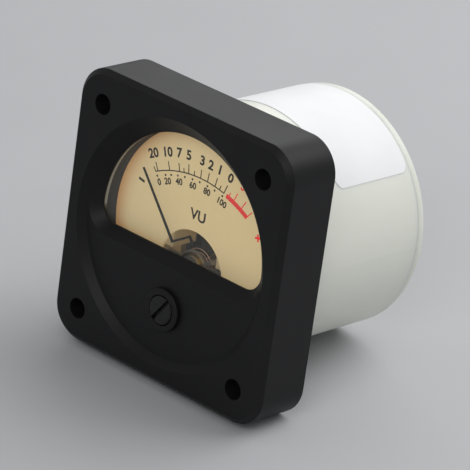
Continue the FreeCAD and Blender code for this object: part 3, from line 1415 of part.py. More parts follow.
# Diodes and resistor: the rectifier and the series resistor, on the front of the circuit board.
diodes = []
for number, (sign, rise) in enumerate((("-", "0"), ("+", "0"), ("-", "1"), ("+", "1")), start=1):
    diodes.append(axial_part(
        "diode_%d" % number,
        "%s(diode_length / 2 + component_lead_reach + diode_radius)" % sign,
        "diode_height + %s * diode_spacing" % rise,
        "diode_radius", "diode_length"))
group("diodes", *diodes)
axial_part("resistor", "0", "-resistor_drop", "resistor_radius", "resistor_length")


def bent_path(points):
    """Straight runs between the points, joined by tangent arcs as large as the runs allow."""
    edges = []
    start = points[0]
    for before, corner, after in zip(points, points[1:], points[2:]):
        way_in = (corner - before).normalize()
        way_out = (after - corner).normalize()
        shorter = min((corner - before).Length, (after - corner).Length)
        trim = 0.45 * shorter
        turn = way_in.getAngle(way_out)
        radius = trim / math.tan(turn / 2)
        inward = (way_out - way_in).normalize()
        middle = corner + inward * (radius / math.cos(turn / 2) - radius)
        bend_start = corner - way_in * trim
        bend_end = corner + way_out * trim
        edges.append(Part.LineSegment(start, bend_start).toShape())
        edges.append(Part.Arc(bend_start, middle, bend_end).toShape())
        print("wire bend radius %.2f mm" % radius)
        start = bend_end
    edges.append(Part.LineSegment(start, points[-1]).toShape())
    return Part.Wire(edges)


def lead_wire(name, start, end, lead):
    """A wire that leaves the circuit board along -Y and meets its tag along -Y."""
    step = FreeCAD.Vector(0, lead, 0)
    path = bent_path([start, start - step, end + step, end])
    radius = size("wire_radius")
    ring = Part.Circle(start, FreeCAD.Vector(0, 1, 0), radius).toShape()
    tube = path.makePipeShell([Part.Wire([ring])], True, False)
    wire = doc.addObject("Part::Feature", name)
    wire.Shape = tube
    print("%s: volume over section times length %.4f" % (
        name, tube.Volume / (math.pi * radius ** 2 * path.Length)))
    return wire


# Lead wires: two to the lamps, one to the frame and one to the rear bridge.
board_face = y_level(BOARD_FRONT)
wires = []
for side, sign in (("left", -1), ("right", 1)):
    wires.append(lead_wire(
        "lamp_wire_" + side,
        FreeCAD.Vector(sign * size("lamp_wire_offset"), board_face, size("lamp_wire_height")),
        FreeCAD.Vector(sign * size("lamp_tag_offset"), y_level(LAMP_BOARD_REAR), size("lamp_height")),
        size("wire_lead"),
    ))
wires.append(lead_wire(
    "frame_wire",
    FreeCAD.Vector(-size("frame_wire_offset"), board_face, -size("frame_wire_drop")),
    FreeCAD.Vector(-size("frame_tag_offset"), y_level(FRAME_REAR), -size("frame_tag_drop")),
    size("wire_lead"),
))
bridge_tag_z = size("bridge_tag_rise") - size("pivot_drop")
wires.append(lead_wire(
    "bridge_wire",
    FreeCAD.Vector(size("bridge_wire_offset"), board_face, bridge_tag_z),
    FreeCAD.Vector(0, y_level(REAR_BAR_REAR), bridge_tag_z),
    size("short_wire_lead"),
))
group("lead_wires", *wires)

NODES = [
    "bezel", "window_pane", "zero_screw", "zero_cam",
    "case_barrel", "back_cover", "case_label",
    "movement_frame", "dial_plate", "dial_screws",
    "front_bridge", "bridge_screws", "stop_pins", "front_bushing", "front_jewel_screw",
    "zero_lever", "lever_washer",
    "pointer", "balance_cross", "balance_weights", "front_pivot", "rear_pivot", "spring_collets",
    "front_hairspring", "rear_hairspring",
    "coil_former", "coil_winding", "core_magnet", "core_pins", "yoke_ring", "yoke_screws",
    "rear_bridge", "rear_bridge_screws", "rear_jewel_screw", "rear_jewel_nut",
    "led_board", "led_lamps", "led_board_screws",
    "circuit_board", "board_screws", "diodes", "resistor", "terminals", "lead_wires",
]

doc.recompute()
for item in doc.Objects:
    if "Invalid" in item.State or "Error" in item.State:
        raise ValueError("%s failed: %s" % (item.Label, item.State))
for node in NODES:
    shape = doc.getObject(node).Shape
    if shape.isNull() or not shape.isValid() or not shape.Solids:
        raise ValueError("%s has no valid shape" % node)

os.makedirs("parts", exist_ok=True)
for node in NODES:
    item = doc.getObject(node)
    item.Label = node
    item.Shape.exportStep("parts/%s.step" % node)
    print("%s: %d solids, volume %.3f" % (node, len(item.Shape.Solids), item.Shape.Volume))
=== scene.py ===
import math

import bmesh
import bpy
from mathutils import Matrix, Vector


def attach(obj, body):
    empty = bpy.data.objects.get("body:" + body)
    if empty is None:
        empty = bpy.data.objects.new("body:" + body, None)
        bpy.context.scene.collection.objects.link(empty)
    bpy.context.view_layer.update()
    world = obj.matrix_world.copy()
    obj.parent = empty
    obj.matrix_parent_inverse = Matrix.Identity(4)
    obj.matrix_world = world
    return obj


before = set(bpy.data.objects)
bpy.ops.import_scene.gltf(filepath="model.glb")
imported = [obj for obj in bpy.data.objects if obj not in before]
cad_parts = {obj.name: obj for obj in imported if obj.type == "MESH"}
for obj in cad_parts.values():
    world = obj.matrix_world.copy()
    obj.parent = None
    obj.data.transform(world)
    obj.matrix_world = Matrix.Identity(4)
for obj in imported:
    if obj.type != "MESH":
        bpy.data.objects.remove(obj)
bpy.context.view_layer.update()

# Bezel: the square front, moulded in black plastic with a satin skin from a finely blasted mould.
# Its dish, half-moon plate, window and four corner holes are all in the one moulding.


class Value:
    """A socket of a material's nodes. Arithmetic on it adds Math nodes, and node() adds any other."""

    def __init__(self, tree, socket):
        self.tree = tree
        self.socket = socket

    def node(self, kind, settings=None, sockets=None, output=0):
        new = self.tree.nodes.new("ShaderNode" + kind)
        for name, setting in (settings or {}).items():
            setattr(new, name, setting)
        for name, value in (sockets or {}).items():
            if isinstance(value, Value):
                self.tree.links.new(value.socket, new.inputs[name])
            else:
                new.inputs[name].default_value = value
        return Value(self.tree, new.outputs[output])

    def maths(self, operation, first, second=0.0):
        return self.node("Math", {"operation": operation}, {0: first, 1: second})

    def __add__(self, other):
        return self.maths("ADD", self, other)

    def __radd__(self, other):
        return self.maths("ADD", other, self)

    def __sub__(self, other):
        return self.maths("SUBTRACT", self, other)

    def __rsub__(self, other):
        return self.maths("SUBTRACT", other, self)

    def __mul__(self, other):
        return self.maths("MULTIPLY", self, other)

    def __rmul__(self, other):
        return self.maths("MULTIPLY", other, self)

    def __truediv__(self, other):
        return self.maths("DIVIDE", self, other)

    def __pow__(self, other):
        return self.maths("POWER", self, other)

    def clipped(self):
        """This value, kept from 0 to 1."""
        return self.node("Clamp", None, {"Value": self})

    def along(self, axis):
        """One coordinate of a place."""
        return self.node("SeparateXYZ", None, {"Vector": self}, "XYZ".index(axis))

    def grain(self, size, detail=2.0):
        """Noise of a given grain, in metres, from 0 to 1."""
        return self.node("TexNoise", None, {"Vector": self, "Scale": 1.0 / size, "Detail": detail})

    def between(self, colour_a, colour_b):
        """A colour that goes from one to another as this value goes from 0 to 1."""
        return self.node("Mix", {"data_type": "RGBA"}, {0: self, 6: colour_a, 7: colour_b}, 2)

    def feeds(self, socket):
        shader = self.tree.nodes["Principled BSDF"]
        self.tree.links.new(self.socket, shader.inputs[socket])

    def roughens(self, depth, strength):
        """This value is the height of a relief of the given depth in metres."""
        self.node("Bump", None, {"Height": self, "Distance": depth, "Strength": strength}).feeds("Normal")


def rgb(red, green, blue):
    """A colour of the screen, from 0 to 255, as the shaders take it."""
    linear = [((v / 255 + 0.055) / 1.055) ** 2.4 if v > 10 else v / 255 / 12.92 for v in (red, green, blue)]
    return (*linear, 1.0)


def finish(name, colour, **sockets):
    """A new material: its shader's fixed sockets, and the place on the piece as a value."""
    material = bpy.data.materials.new(name)
    material.use_nodes = True
    shader = material.node_tree.nodes["Principled BSDF"]
    shader.inputs["Base Color"].default_value = colour
    for socket, value in sockets.items():
        shader.inputs[socket.replace("_", " ")].default_value = value
    coordinates = material.node_tree.nodes.new("ShaderNodeTexCoord")
    return material, Value(material.node_tree, coordinates.outputs["Object"])


def dress(material, *nodes):
    """Gives a finish to pieces that keep their shape."""
    for node in nodes:
        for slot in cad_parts[node].material_slots:
            slot.material = material


MM = 0.001
MOULDED = rgb(17, 17, 18)
RUBBED = rgb(28, 28, 29)
MOULDED_ROUGHNESS = 0.40
black_moulding, place = finish("black_moulding", MOULDED, Specular_IOR_Level=0.22)
blasted = place.grain(0.16 * MM, detail=3.0)
handled = place.grain(9.0 * MM, detail=3.0)
(handled * handled).between(MOULDED, RUBBED).feeds("Base Color")
(MOULDED_ROUGHNESS + 0.10 * handled + 0.06 * blasted).feeds("Roughness")
blasted.roughens(depth=0.007 * MM, strength=0.55)
dress(black_moulding, "bezel")

# Window pane: a flat D of clear acrylic with polished faces, glued to the floor of the chamber behind
# the window. A little dust lies on it.
PANE_GLOSS = 0.6
DUST_FLOOR = 0.62
DUST_THICKNESS = 0.08
clear_pane, place = finish("clear_pane", rgb(232, 236, 234), Roughness=0.04)
facing = place.node("Fresnel", None, {"IOR": 1.3})
dust = (place.grain(0.7 * MM, detail=4.0) - DUST_FLOOR).clipped() * DUST_THICKNESS
pane_tree = clear_pane.node_tree
pane_clear = pane_tree.nodes.new("ShaderNodeBsdfTransparent")
pane_clear.inputs["Color"].default_value = (0.97, 0.975, 0.97, 1.0)
pane_mix = pane_tree.nodes.new("ShaderNodeMixShader")
pane_tree.links.new((facing * PANE_GLOSS + dust).clipped().socket, pane_mix.inputs[0])
pane_tree.links.new(pane_clear.outputs[0], pane_mix.inputs[1])
pane_tree.links.new(pane_tree.nodes["Principled BSDF"].outputs[0], pane_mix.inputs[2])
pane_tree.links.new(pane_mix.outputs[0], pane_tree.nodes["Material Output"].inputs["Surface"])
dress(clear_pane, "window_pane")

# Zero screw and its cam: a slotted head of black plastic that turns in the round boss, with a disc
# and an off-centre pin pressed on its rear end. Screwdrivers have rubbed it here and there.


def glossed(place, smooth, rough, grain, detail=2.0):
    """Roughness that wavers between two values, over a grain of the given size."""
    (smooth + (rough - smooth) * place.grain(grain, detail)).feeds("Roughness")


def dented(place, grain, depth, strength, detail=2.0):
    """A fine relief of one grain and depth, in metres, all over the piece."""
    place.grain(grain, detail).roughens(depth, strength)


SCREW = rgb(17, 17, 18)
SCREW_WORN = rgb(46, 46, 47)
RUB_FLOOR = 0.52
RUB_CONTRAST = 2.4
screw_black, place = finish("screw_black", SCREW, Specular_IOR_Level=0.35)
rubs = (place.grain(0.5 * MM, detail=4.0) - RUB_FLOOR).clipped() * RUB_CONTRAST
rubs.clipped().between(SCREW, SCREW_WORN).feeds("Base Color")
glossed(place, smooth=0.34, rough=0.54, grain=0.4 * MM)
dented(place, grain=0.12 * MM, depth=0.006 * MM, strength=0.6)
dress(screw_black, "zero_screw", "zero_cam")

# Movement frame: a thick disc moulded in cream plastic that fills the chamber behind the dial. It
# carries the dial, the bridge, the yoke and the lamp board, and its window lets the lamps' light out.


def clouded(place, colour, shade, patch, detail=3.0, socket="Base Color"):
    """A colour that drifts to another in soft patches of the given size, in metres."""
    place.grain(patch, detail).between(colour, shade).feeds(socket)


CREAM = rgb(222, 208, 176)
# The frame's emission is a painted glow that stands in for the lamps' light falling on it.
cream_frame, place = finish("cream_frame", CREAM, Specular_IOR_Level=0.35, Subsurface_Weight=0.12,
                            Subsurface_Scale=1.0 * MM, Subsurface_Radius=(1.0, 0.7, 0.4),
                            Emission_Strength=0.16)
clouded(place, CREAM, rgb(206, 186, 150), patch=4.0 * MM)
# Amber emission colour: the painted glow of the lamps' light.
clouded(place, rgb(196, 160, 96), rgb(168, 132, 78), patch=6.0 * MM, detail=2.0, socket="Emission Color")
glossed(place, smooth=0.55, rough=0.67, grain=0.6 * MM)
dented(place, grain=0.25 * MM, depth=0.01 * MM, strength=0.5)
dress(cream_frame, "movement_frame")

# Dial: a thin see-through plate painted matt cream on its front and cut with an arch round the pivot.
# Its colour is also emitted as a painted glow that stands in for the lamps' light through the plate, and it
# is painted a darker amber at its rim and its lower left: painted warm shade, tinted like the lamps' light.
DIAL_FRONT = -3.9 * MM
DIAL_RADIUS = 17.0 * MM
DIAL_CREAM = rgb(222, 199, 152)
DIAL_SHADE_AMBER = rgb(196, 140, 82)
RIM_SHARE = 0.20
FOOT_TOP = -2.0 * MM
FOOT_HEIGHT = 2.4 * MM
FOOT_REACH = 12.0 * MM
MOST_DIAL_SHADE = 0.85
# The emission here is a painted glow that stands in for lamp light through the dial.
dial_paint, place = finish("dial_paint", DIAL_CREAM, Specular_IOR_Level=0.2, Emission_Strength=0.385)
across = place.along("X")
upward = place.along("Z")
reach = ((across * across + upward * upward) ** 0.5) / DIAL_RADIUS
# Masks of painted warm shade: at the rim, along the left edge and at the lower left.
dial_rim_shade = ((reach - (1.0 - RIM_SHARE)) / RIM_SHARE).clipped() ** 1.6
dial_left_shade = (-0.15 - across / DIAL_RADIUS).clipped()
dial_foot_shade = ((FOOT_TOP - upward) / FOOT_HEIGHT).clipped() ** 1.5
dial_lower_left_shade = (dial_foot_shade * (0.25 - across / FOOT_REACH).clipped()).clipped()
dial_warm_shade = (dial_rim_shade * (0.42 + 0.8 * dial_left_shade) + 0.75 * dial_lower_left_shade).clipped()
cloud = 0.06 * place.grain(3.0 * MM, detail=3.0)
# The dial's cream with its painted warm shade, which also feeds the painted glow.
painted = (dial_warm_shade * MOST_DIAL_SHADE + cloud).clipped().between(DIAL_CREAM, DIAL_SHADE_AMBER)
painted.feeds("Base Color")
painted.feeds("Emission Color")
glossed(place, smooth=0.55, rough=0.65, grain=0.3 * MM)
dented(place, grain=0.12 * MM, depth=0.004 * MM, strength=0.4)
dress(dial_paint, "dial_plate")

# Scale line: the black strokes of the level scale and the thin arc under them, screen printed on the
# cream paint like all the print of the dial, and so only a few hundredths of a millimetre thick.
PRINT_DEPTH = 0.02 * MM
PRINT_BLACK = rgb(34, 28, 20)
THIN_BLACK = rgb(96, 84, 60)
PRINT_RED = rgb(236, 60, 62)
THIN_RED = rgb(238, 110, 96)
SCALE_CENTRE = (-0.30 * MM, -11.30 * MM)
SCALE_RADIUS = 21.09 * MM
STROKE_WIDTH = 0.17 * MM
LINE_WIDTH = 0.18 * MM
LINE_STEPS = 48


def printed(name, colour, thin_colour):
    """Screen ink: matt, and thinner here and there where the mesh of the screen left it. It also has a
    painted glow like the dial's.
    """
    # The emission gives the ink a painted glow, to sit with the dial's painted glow.
    ink, place = finish(name, colour, Specular_IOR_Level=0.25, Emission_Strength=0.3)
    thin = (place.grain(0.12 * MM) - 0.55).clipped() * 0.5
    tone = thin.between(colour, thin_colour)
    tone.feeds("Base Color")
    # The ink's colour also feeds its painted glow.
    tone.feeds("Emission Color")
    glossed(place, smooth=0.50, rough=0.65, grain=0.2 * MM)
    return ink


black_ink = printed("black_ink", PRINT_BLACK, THIN_BLACK)
red_ink = printed("red_ink", PRINT_RED, THIN_RED)


def into_piece(name, mesh, ink):
    """A finished mesh becomes a piece that rides on the housing."""
    bmesh.ops.remove_doubles(mesh, verts=mesh.verts, dist=1e-8)
    bmesh.ops.recalc_face_normals(mesh, faces=mesh.faces)
    data = bpy.data.meshes.new(name)
    mesh.to_mesh(data)
    mesh.free()
    data.materials.append(ink)
    piece = bpy.data.objects.new(name, data)
    bpy.context.scene.collection.objects.link(piece)
    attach(piece, "housing")


def on_dial(x, z, turn=0.0):
    """The place of a print on the dial, turned clockwise about the view."""
    return Matrix.Translation((x, DIAL_FRONT - PRINT_DEPTH / 2, z)) @ Matrix.Rotation(turn, 4, "Y")


def stroke(mesh, start, end, width=STROKE_WIDTH):
    """A straight line of ink between two points of the dial, which are given in millimetres."""
    run = (Vector(end) - Vector(start)) * MM
    middle = (Vector(start) + Vector(end)) / 2 * MM
    turn = math.atan2(run.x, run.y)
    shape = Matrix.Diagonal((width, PRINT_DEPTH, run.length, 1.0))
    bmesh.ops.create_cube(mesh, size=1.0, matrix=on_dial(middle.x, middle.y, turn) @ shape)


def from_top(x, z):
    """The angle of a point, in millimetres, about the scale's centre. It runs clockwise from the top."""
    return math.atan2(x * MM - SCALE_CENTRE[0], z * MM - SCALE_CENTRE[1])


def curved_band(mesh, inner, outer, start, end, steps):
    """A band of ink along the scale, from the angle of one point to the angle of another."""
    first = from_top(*start)
    block = bmesh.ops.create_grid(mesh, x_segments=1, y_segments=1, size=0.5)
    upright = Matrix.Rotation(math.pi / 2, 4, "Y") @ Matrix.Diagonal((outer - inner, PRINT_DEPTH, 1.0, 1.0))
    where = on_dial(*SCALE_CENTRE, first) @ Matrix.Translation((0, 0, (inner + outer) / 2)) @ upright
    bmesh.ops.transform(mesh, matrix=where, verts=block["verts"])
    face = list({face for vert in block["verts"] for face in vert.link_faces})
    bmesh.ops.spin(mesh, geom=face, cent=(SCALE_CENTRE[0], 0, SCALE_CENTRE[1]), axis=(0, 1, 0),
                   angle=from_top(*end) - first, steps=steps, use_merge=False)


# Inner and outer end of each stroke, across and up the dial from its middle, in millimetres.
BLACK_STROKES = [
    ((-9.70, 7.55), (-10.22, 8.20)), ((-9.28, 7.80), (-9.96, 9.05)), ((-6.86, 8.72), (-7.41, 10.06)),
    ((-4.82, 9.29), (-5.20, 10.59)), ((-3.87, 9.48), (-4.06, 10.16)), ((-2.92, 9.62), (-3.13, 11.10)),
    ((-1.75, 9.72), (-1.81, 10.47)), ((-0.38, 9.79), (-0.41, 11.17)), ((1.08, 9.74), (1.23, 11.24)),
    ((2.71, 9.57), (2.99, 11.05)), ((3.68, 9.40), (3.94, 10.17)), ((4.66, 9.18), (5.21, 10.64)),
]
mesh = bmesh.new()
for inner_end, outer_end in BLACK_STROKES:
    stroke(mesh, inner_end, outer_end)
curved_band(mesh, SCALE_RADIUS - LINE_WIDTH / 2, SCALE_RADIUS + LINE_WIDTH / 2, start=(-9.72, 7.5),
            end=(4.70, 9.2), steps=LINE_STEPS)
into_piece("scale_line", mesh, black_ink)

# Red band: the thick arc of the levels above zero, with its four strokes. It is printed in red ink on
# the same arc as the thin black line, but lies a little more to the inside.
BAND_INSIDE = 0.42 * MM
BAND_OUTSIDE = 0.33 * MM
BAND_STEPS = 16
RED_STROKES = [
    ((5.72, 8.98), (6.00, 9.77)), ((6.76, 8.60), (7.43, 10.14)),
    ((8.40, 7.90), (9.32, 9.47)), ((9.75, 7.10), (10.79, 8.31)),
]
mesh = bmesh.new()
for inner_end, outer_end in RED_STROKES:
    stroke(mesh, inner_end, outer_end)
curved_band(mesh, SCALE_RADIUS - BAND_INSIDE, SCALE_RADIUS + BAND_OUTSIDE, start=(5.15, 8.80),
            end=(9.75, 6.95), steps=BAND_STEPS)
into_piece("red_band", mesh, red_ink)

# Percent dots: ten round dots of black ink in an arc under the scale line. They mark the percent
# scale, whose numbers stand below them.
DOT_RADIUS = 0.18 * MM
DOT_SIDES = 16
DOTS = [
    (-9.29, 7.00), (-7.60, 7.74), (-6.46, 8.16), (-5.09, 8.54), (-3.61, 8.84),
    (-2.01, 9.05), (-0.46, 9.14), (1.20, 9.09), (2.76, 8.94), (4.43, 8.66),
]
mesh = bmesh.new()
for x, z in DOTS:
    bmesh.ops.create_cone(mesh, cap_ends=True, segments=DOT_SIDES, radius1=DOT_RADIUS, radius2=DOT_RADIUS,
                          depth=PRINT_DEPTH,
                          matrix=on_dial(x * MM, z * MM) @ Matrix.Rotation(math.pi / 2, 4, "X"))
into_piece("percent_dots", mesh, black_ink)

# Numbers and unit: plain upright figures of black and red ink. Each number leans so that it stands
# along its own stroke, and the unit stands upright in the middle of the dial.


def lettering(name, words, height, slimness, boldness, ink):
    """Words of the dial, each with its place in millimetres and its lean, joined as one printed piece."""
    page = bmesh.new()
    for text, x, z, lean in words:
        curve = bpy.data.curves.new(name, "FONT")
        curve.body = text
        curve.size = 1.0
        curve.offset = boldness
        curve.resolution_u = 4
        curve.extrude = 0.5
        curve.align_x = "CENTER"
        holder = bpy.data.objects.new(name, curve)
        bpy.context.scene.collection.objects.link(holder)
        bpy.context.view_layer.update()
        shaped = bpy.data.meshes.new_from_object(holder)
        bpy.data.objects.remove(holder)
        low = min(v.co.y for v in shaped.vertices)
        high = max(v.co.y for v in shaped.vertices)
        scale = height / (high - low)
        shaped.transform(Matrix.Translation((0, -(low + high) / 2, 0)))
        shaped.transform(Matrix.Diagonal((scale * slimness, scale, PRINT_DEPTH, 1.0)))
        shaped.transform(on_dial(x * MM, z * MM, lean) @ Matrix.Rotation(math.pi / 2, 4, "X"))
        page.from_mesh(shaped)
        bpy.data.meshes.remove(shaped)
    into_piece(name, page, ink)


LEVELS = [
    ("20", -10.67, 10.29), ("10", -7.83, 11.48), ("7", -5.39, 12.18), ("5", -3.36, 12.52),
    ("3", -0.47, 12.66), ("2", 1.36, 12.59), ("1", 3.30, 12.51), ("0", 5.64, 12.01),
]
PERCENTS = [
    ("0", -8.71, 6.20), ("20", -6.99, 6.96), ("40", -4.66, 7.71), ("60", -1.78, 8.13),
    ("80", 1.23, 8.20), ("100", 4.44, 7.64),
]
lettering("level_numbers", [(text, x, z, from_top(x, z)) for text, x, z in LEVELS],
          height=1.58 * MM, slimness=1.04, boldness=0.032, ink=black_ink)
lettering("percent_numbers", [(text, x, z, from_top(x, z)) for text, x, z in PERCENTS],
          height=1.10 * MM, slimness=0.98, boldness=0.030, ink=black_ink)
lettering("unit", [("VU", 0.16, 3.82, 0.0)], height=1.76 * MM, slimness=1.04, boldness=0.022, ink=black_ink)
lettering("red_number", [("3", 8.45, 11.53, math.radians(34.0))],
          height=1.45 * MM, slimness=0.86, boldness=0.028, ink=red_ink)

# Minus and plus sign: short thick strokes of ink at the two ends of the dial, black for the minus and
# red for the plus.
MINUS_WIDTH = 0.42 * MM
PLUS_WIDTH = 0.34 * MM
mesh = bmesh.new()
stroke(mesh, (-12.98, 5.36), (-11.74, 5.10), MINUS_WIDTH)
into_piece("minus_sign", mesh, black_ink)
mesh = bmesh.new()
stroke(mesh, (12.05, 4.72), (13.25, 4.98), PLUS_WIDTH)
stroke(mesh, (12.53, 5.42), (12.77, 4.28), PLUS_WIDTH)
into_piece("plus_sign", mesh, red_ink)

# Screws, stop pins and pivots: turned from bright steel with a thin plating, and driven, screwed or
# pressed into the pieces that they hold.
STEEL = rgb(186, 184, 180)
bright_steel, place = finish("bright_steel", STEEL, Metallic=1.0)
clouded(place, STEEL, rgb(140, 138, 134), patch=0.6 * MM, detail=4.0)
glossed(place, smooth=0.26, rough=0.42, grain=0.3 * MM, detail=3.0)
dented(place, grain=0.08 * MM, depth=0.003 * MM, strength=0.5)
dress(bright_steel, "dial_screws", "bridge_screws", "stop_pins", "front_jewel_screw", "rear_jewel_screw",
      "yoke_screws", "rear_bridge_screws", "led_board_screws", "board_screws", "front_pivot", "rear_pivot")

# Core magnet: a round magnet pinned in the middle of the yoke. It is ground on its round face, which
# leaves fine rings.
MAGNET = rgb(92, 92, 95)
magnet, place = finish("magnet", MAGNET, Metallic=0.9)
turned = place.node("TexWave", {"bands_direction": "Y"},
                    {"Vector": place, "Scale": 2600.0, "Distortion": 2.0})
turned.between(MAGNET, rgb(70, 70, 74)).feeds("Base Color")
(0.38 + 0.12 * turned).feeds("Roughness")
turned.roughens(depth=0.003 * MM, strength=0.4)
dress(magnet, "core_magnet")

# Yoke: a plated ring of soft iron round the coil, screwed to the frame by its two ears. Its plating is
# dull in patches.
IRON = rgb(170, 168, 162)
soft_iron, place = finish("soft_iron", IRON, Metallic=1.0)
clouded(place, IRON, rgb(132, 128, 118), patch=2.0 * MM, detail=4.0)
glossed(place, smooth=0.34, rough=0.54, grain=0.8 * MM, detail=3.0)
dented(place, grain=0.2 * MM, depth=0.006 * MM, strength=0.6)
dress(soft_iron, "yoke_ring")

# Coil former: a strip of bright aluminium folded into the frame that carries the winding round the
# magnet.
ALUMINIUM = rgb(206, 206, 204)
aluminium, place = finish("aluminium", ALUMINIUM, Metallic=1.0)
clouded(place, ALUMINIUM, rgb(176, 176, 172), patch=0.8 * MM)
glossed(place, smooth=0.30, rough=0.45, grain=0.4 * MM)
dented(place, grain=0.12 * MM, depth=0.003 * MM, strength=0.5)
dress(aluminium, "coil_former")

# Winding: turns of enamelled copper wire laid side by side on the former. The relief shows the single
# turns, and the colour is painted darker in the grooves between them as painted shade.
COPPER = rgb(176, 92, 52)
copper_wire, place = finish("copper_wire", COPPER, Metallic=0.85, Coat_Weight=0.3)
turns_and_groove_shade = place.node("TexWave", {"bands_direction": "Z"},
                   {"Vector": place, "Scale": 3600.0, "Distortion": 0.4, "Detail": 1.0})
# The darker copper along the grooves between turns is painted shade.
turns_and_groove_shade.between(rgb(120, 58, 34), COPPER).feeds("Base Color")
glossed(place, smooth=0.30, rough=0.42, grain=0.5 * MM)
turns_and_groove_shade.roughens(depth=0.03 * MM, strength=0.8)
dress(copper_wire, "coil_winding")

# Collets, core pins, jewel nut and lever washer: turned from brass and left bare, with a few dark
# patches of age.
BRASS = rgb(196, 160, 88)
brass, place = finish("brass", BRASS, Metallic=1.0)
clouded(place, BRASS, rgb(158, 122, 62), patch=0.6 * MM, detail=4.0)
glossed(place, smooth=0.25, rough=0.40, grain=0.3 * MM)
dented(place, grain=0.1 * MM, depth=0.003 * MM, strength=0.5)
dress(brass, "spring_collets", "core_pins", "rear_jewel_nut", "lever_washer")

# Balance cross and its small weights: pale bright wire arms with sleeves on them, which are slid
# along until the pointer stays still in any position.
PALE_WIRE = rgb(228, 218, 200)
pale_metal, place = finish("pale_metal", PALE_WIRE, Metallic=0.45)
clouded(place, PALE_WIRE, rgb(178, 160, 134), patch=0.5 * MM)
glossed(place, smooth=0.32, rough=0.46, grain=0.3 * MM)
dented(place, grain=0.08 * MM, depth=0.002 * MM, strength=0.5)
dress(pale_metal, "balance_cross", "balance_weights")

# Pointer: a thin aluminium blade painted matt black. Near the pivot its foot steps back to the
# spindle, and there the paint is rubbed from handling at assembly.
POINTER = rgb(24, 22, 20)
RUBBED_BELOW = -3.2 * MM
RUBBED_FADE = 1.2 * MM
black_paint, place = finish("black_paint", POINTER, Specular_IOR_Level=0.25)
spots = ((place.grain(0.4 * MM, detail=3.0) - 0.45).clipped() * 3.0).clipped()
low_down = ((RUBBED_BELOW - place.along("Z")) / RUBBED_FADE).clipped()
(spots * low_down).between(POINTER, rgb(120, 92, 62)).feeds("Base Color")
glossed(place, smooth=0.50, rough=0.65, grain=0.3 * MM)
dented(place, grain=0.1 * MM, depth=0.003 * MM, strength=0.5)
dress(black_paint, "pointer")

# Hairsprings: coils of phosphor bronze that carry the current and turn the pointer back. The front
# one is held by the zero lever, so that the zero screw can shift the pointer's rest.
BRONZE = rgb(238, 208, 180)
bronze_spring, place = finish("bronze_spring", BRONZE, Metallic=0.35)
clouded(place, BRONZE, rgb(196, 150, 116), patch=0.6 * MM)
glossed(place, smooth=0.24, rough=0.36, grain=0.3 * MM)
dented(place, grain=0.08 * MM, depth=0.002 * MM, strength=0.4)
dress(bronze_spring, "front_hairspring", "rear_hairspring")

# Bridges, bushing, zero lever and terminals: stamped strips and pins, tinned so that the spring's end
# and the wires can be soldered to them. The flow marks of the tin show as soft patches.
TINNED = rgb(198, 196, 190)
tinned, place = finish("tinned", TINNED, Metallic=0.7)
flow = place.grain(1.4 * MM, detail=4.0)
flow.between(TINNED, rgb(150, 146, 138)).feeds("Base Color")
(0.26 + 0.22 * flow).feeds("Roughness")
flow.roughens(depth=0.01 * MM, strength=0.4)
dress(tinned, "front_bridge", "rear_bridge", "front_bushing", "terminals", "zero_lever")

# Lamp board and circuit board: green glass-fibre board with a solder mask, under which the weave of
# the glass shows faintly. One is screwed to the posts of the frame and the other to those of the cover.
BOARD = rgb(28, 92, 46)
WEAVE_SCALE = 900.0
green_board, place = finish("green_board", BOARD, Coat_Weight=0.4)
weave_x = place.node("TexWave", {"bands_direction": "X"}, {"Vector": place, "Scale": WEAVE_SCALE})
weave_z = place.node("TexWave", {"bands_direction": "Z"}, {"Vector": place, "Scale": WEAVE_SCALE})
weave = (weave_x * weave_z).clipped()
weave.between(BOARD, rgb(44, 122, 62)).feeds("Base Color")
(0.38 + 0.12 * weave).feeds("Roughness")
weave.roughens(depth=0.01 * MM, strength=0.35)
dress(green_board, "led_board", "circuit_board")

# Lamps: two clear round lamps with a dome and a rim, soldered to the front of the lamp board. They
# glow warmly, because the meter in the photograph is lit.
lamp_clear, place = finish("lamp_clear", rgb(246, 214, 150), IOR=1.5, Transmission_Weight=0.35,
                           Emission_Strength=0.6)
clouded(place, rgb(255, 196, 110), rgb(255, 224, 160), patch=1.0 * MM, detail=2.0, socket="Emission Color")
glossed(place, smooth=0.18, rough=0.28, grain=0.6 * MM)
dress(lamp_clear, "led_lamps")

# Diodes: four glossy bodies of a dark orange colour, soldered to the circuit board. They turn the
# alternating signal into the current that the coil needs.
DIODE = rgb(150, 66, 30)
component_body, place = finish("component_body", DIODE, Coat_Weight=0.6)
clouded(place, DIODE, rgb(96, 36, 20), patch=0.8 * MM, detail=2.0)
glossed(place, smooth=0.18, rough=0.32, grain=0.5 * MM)
dress(component_body, "diodes")

# Resistor: a small body in beige lacquer with brown rings, soldered to the circuit board in series
# with the coil.
RESISTOR = rgb(196, 174, 132)
RING_PITCH = 1.5 * MM
RING_FLOOR = 0.55
RING_SHARPNESS = 9.0
resistor_body, place = finish("resistor_body", RESISTOR, Coat_Weight=0.3)
phase = place.along("X") * (2 * math.pi / RING_PITCH)
rings = (place.maths("SINE", phase) - RING_FLOOR) * RING_SHARPNESS
rings.clipped().between(RESISTOR, rgb(120, 60, 34)).feeds("Base Color")
glossed(place, smooth=0.30, rough=0.42, grain=0.5 * MM)
dented(place, grain=0.4 * MM, depth=0.01 * MM, strength=0.4)
dress(resistor_body, "resistor")

# Lead wires: thin wires in red sleeves that run forward from the circuit board, two to the lamps, one
# to the frame and one to the rear bridge.
WIRE_RED = rgb(176, 34, 28)
wire_cover, place = finish("wire_cover", WIRE_RED, Specular_IOR_Level=0.4)
clouded(place, WIRE_RED, rgb(132, 22, 20), patch=1.2 * MM)
glossed(place, smooth=0.42, rough=0.56, grain=0.5 * MM)
dented(place, grain=0.3 * MM, depth=0.01 * MM, strength=0.4)
dress(wire_cover, "lead_wires")
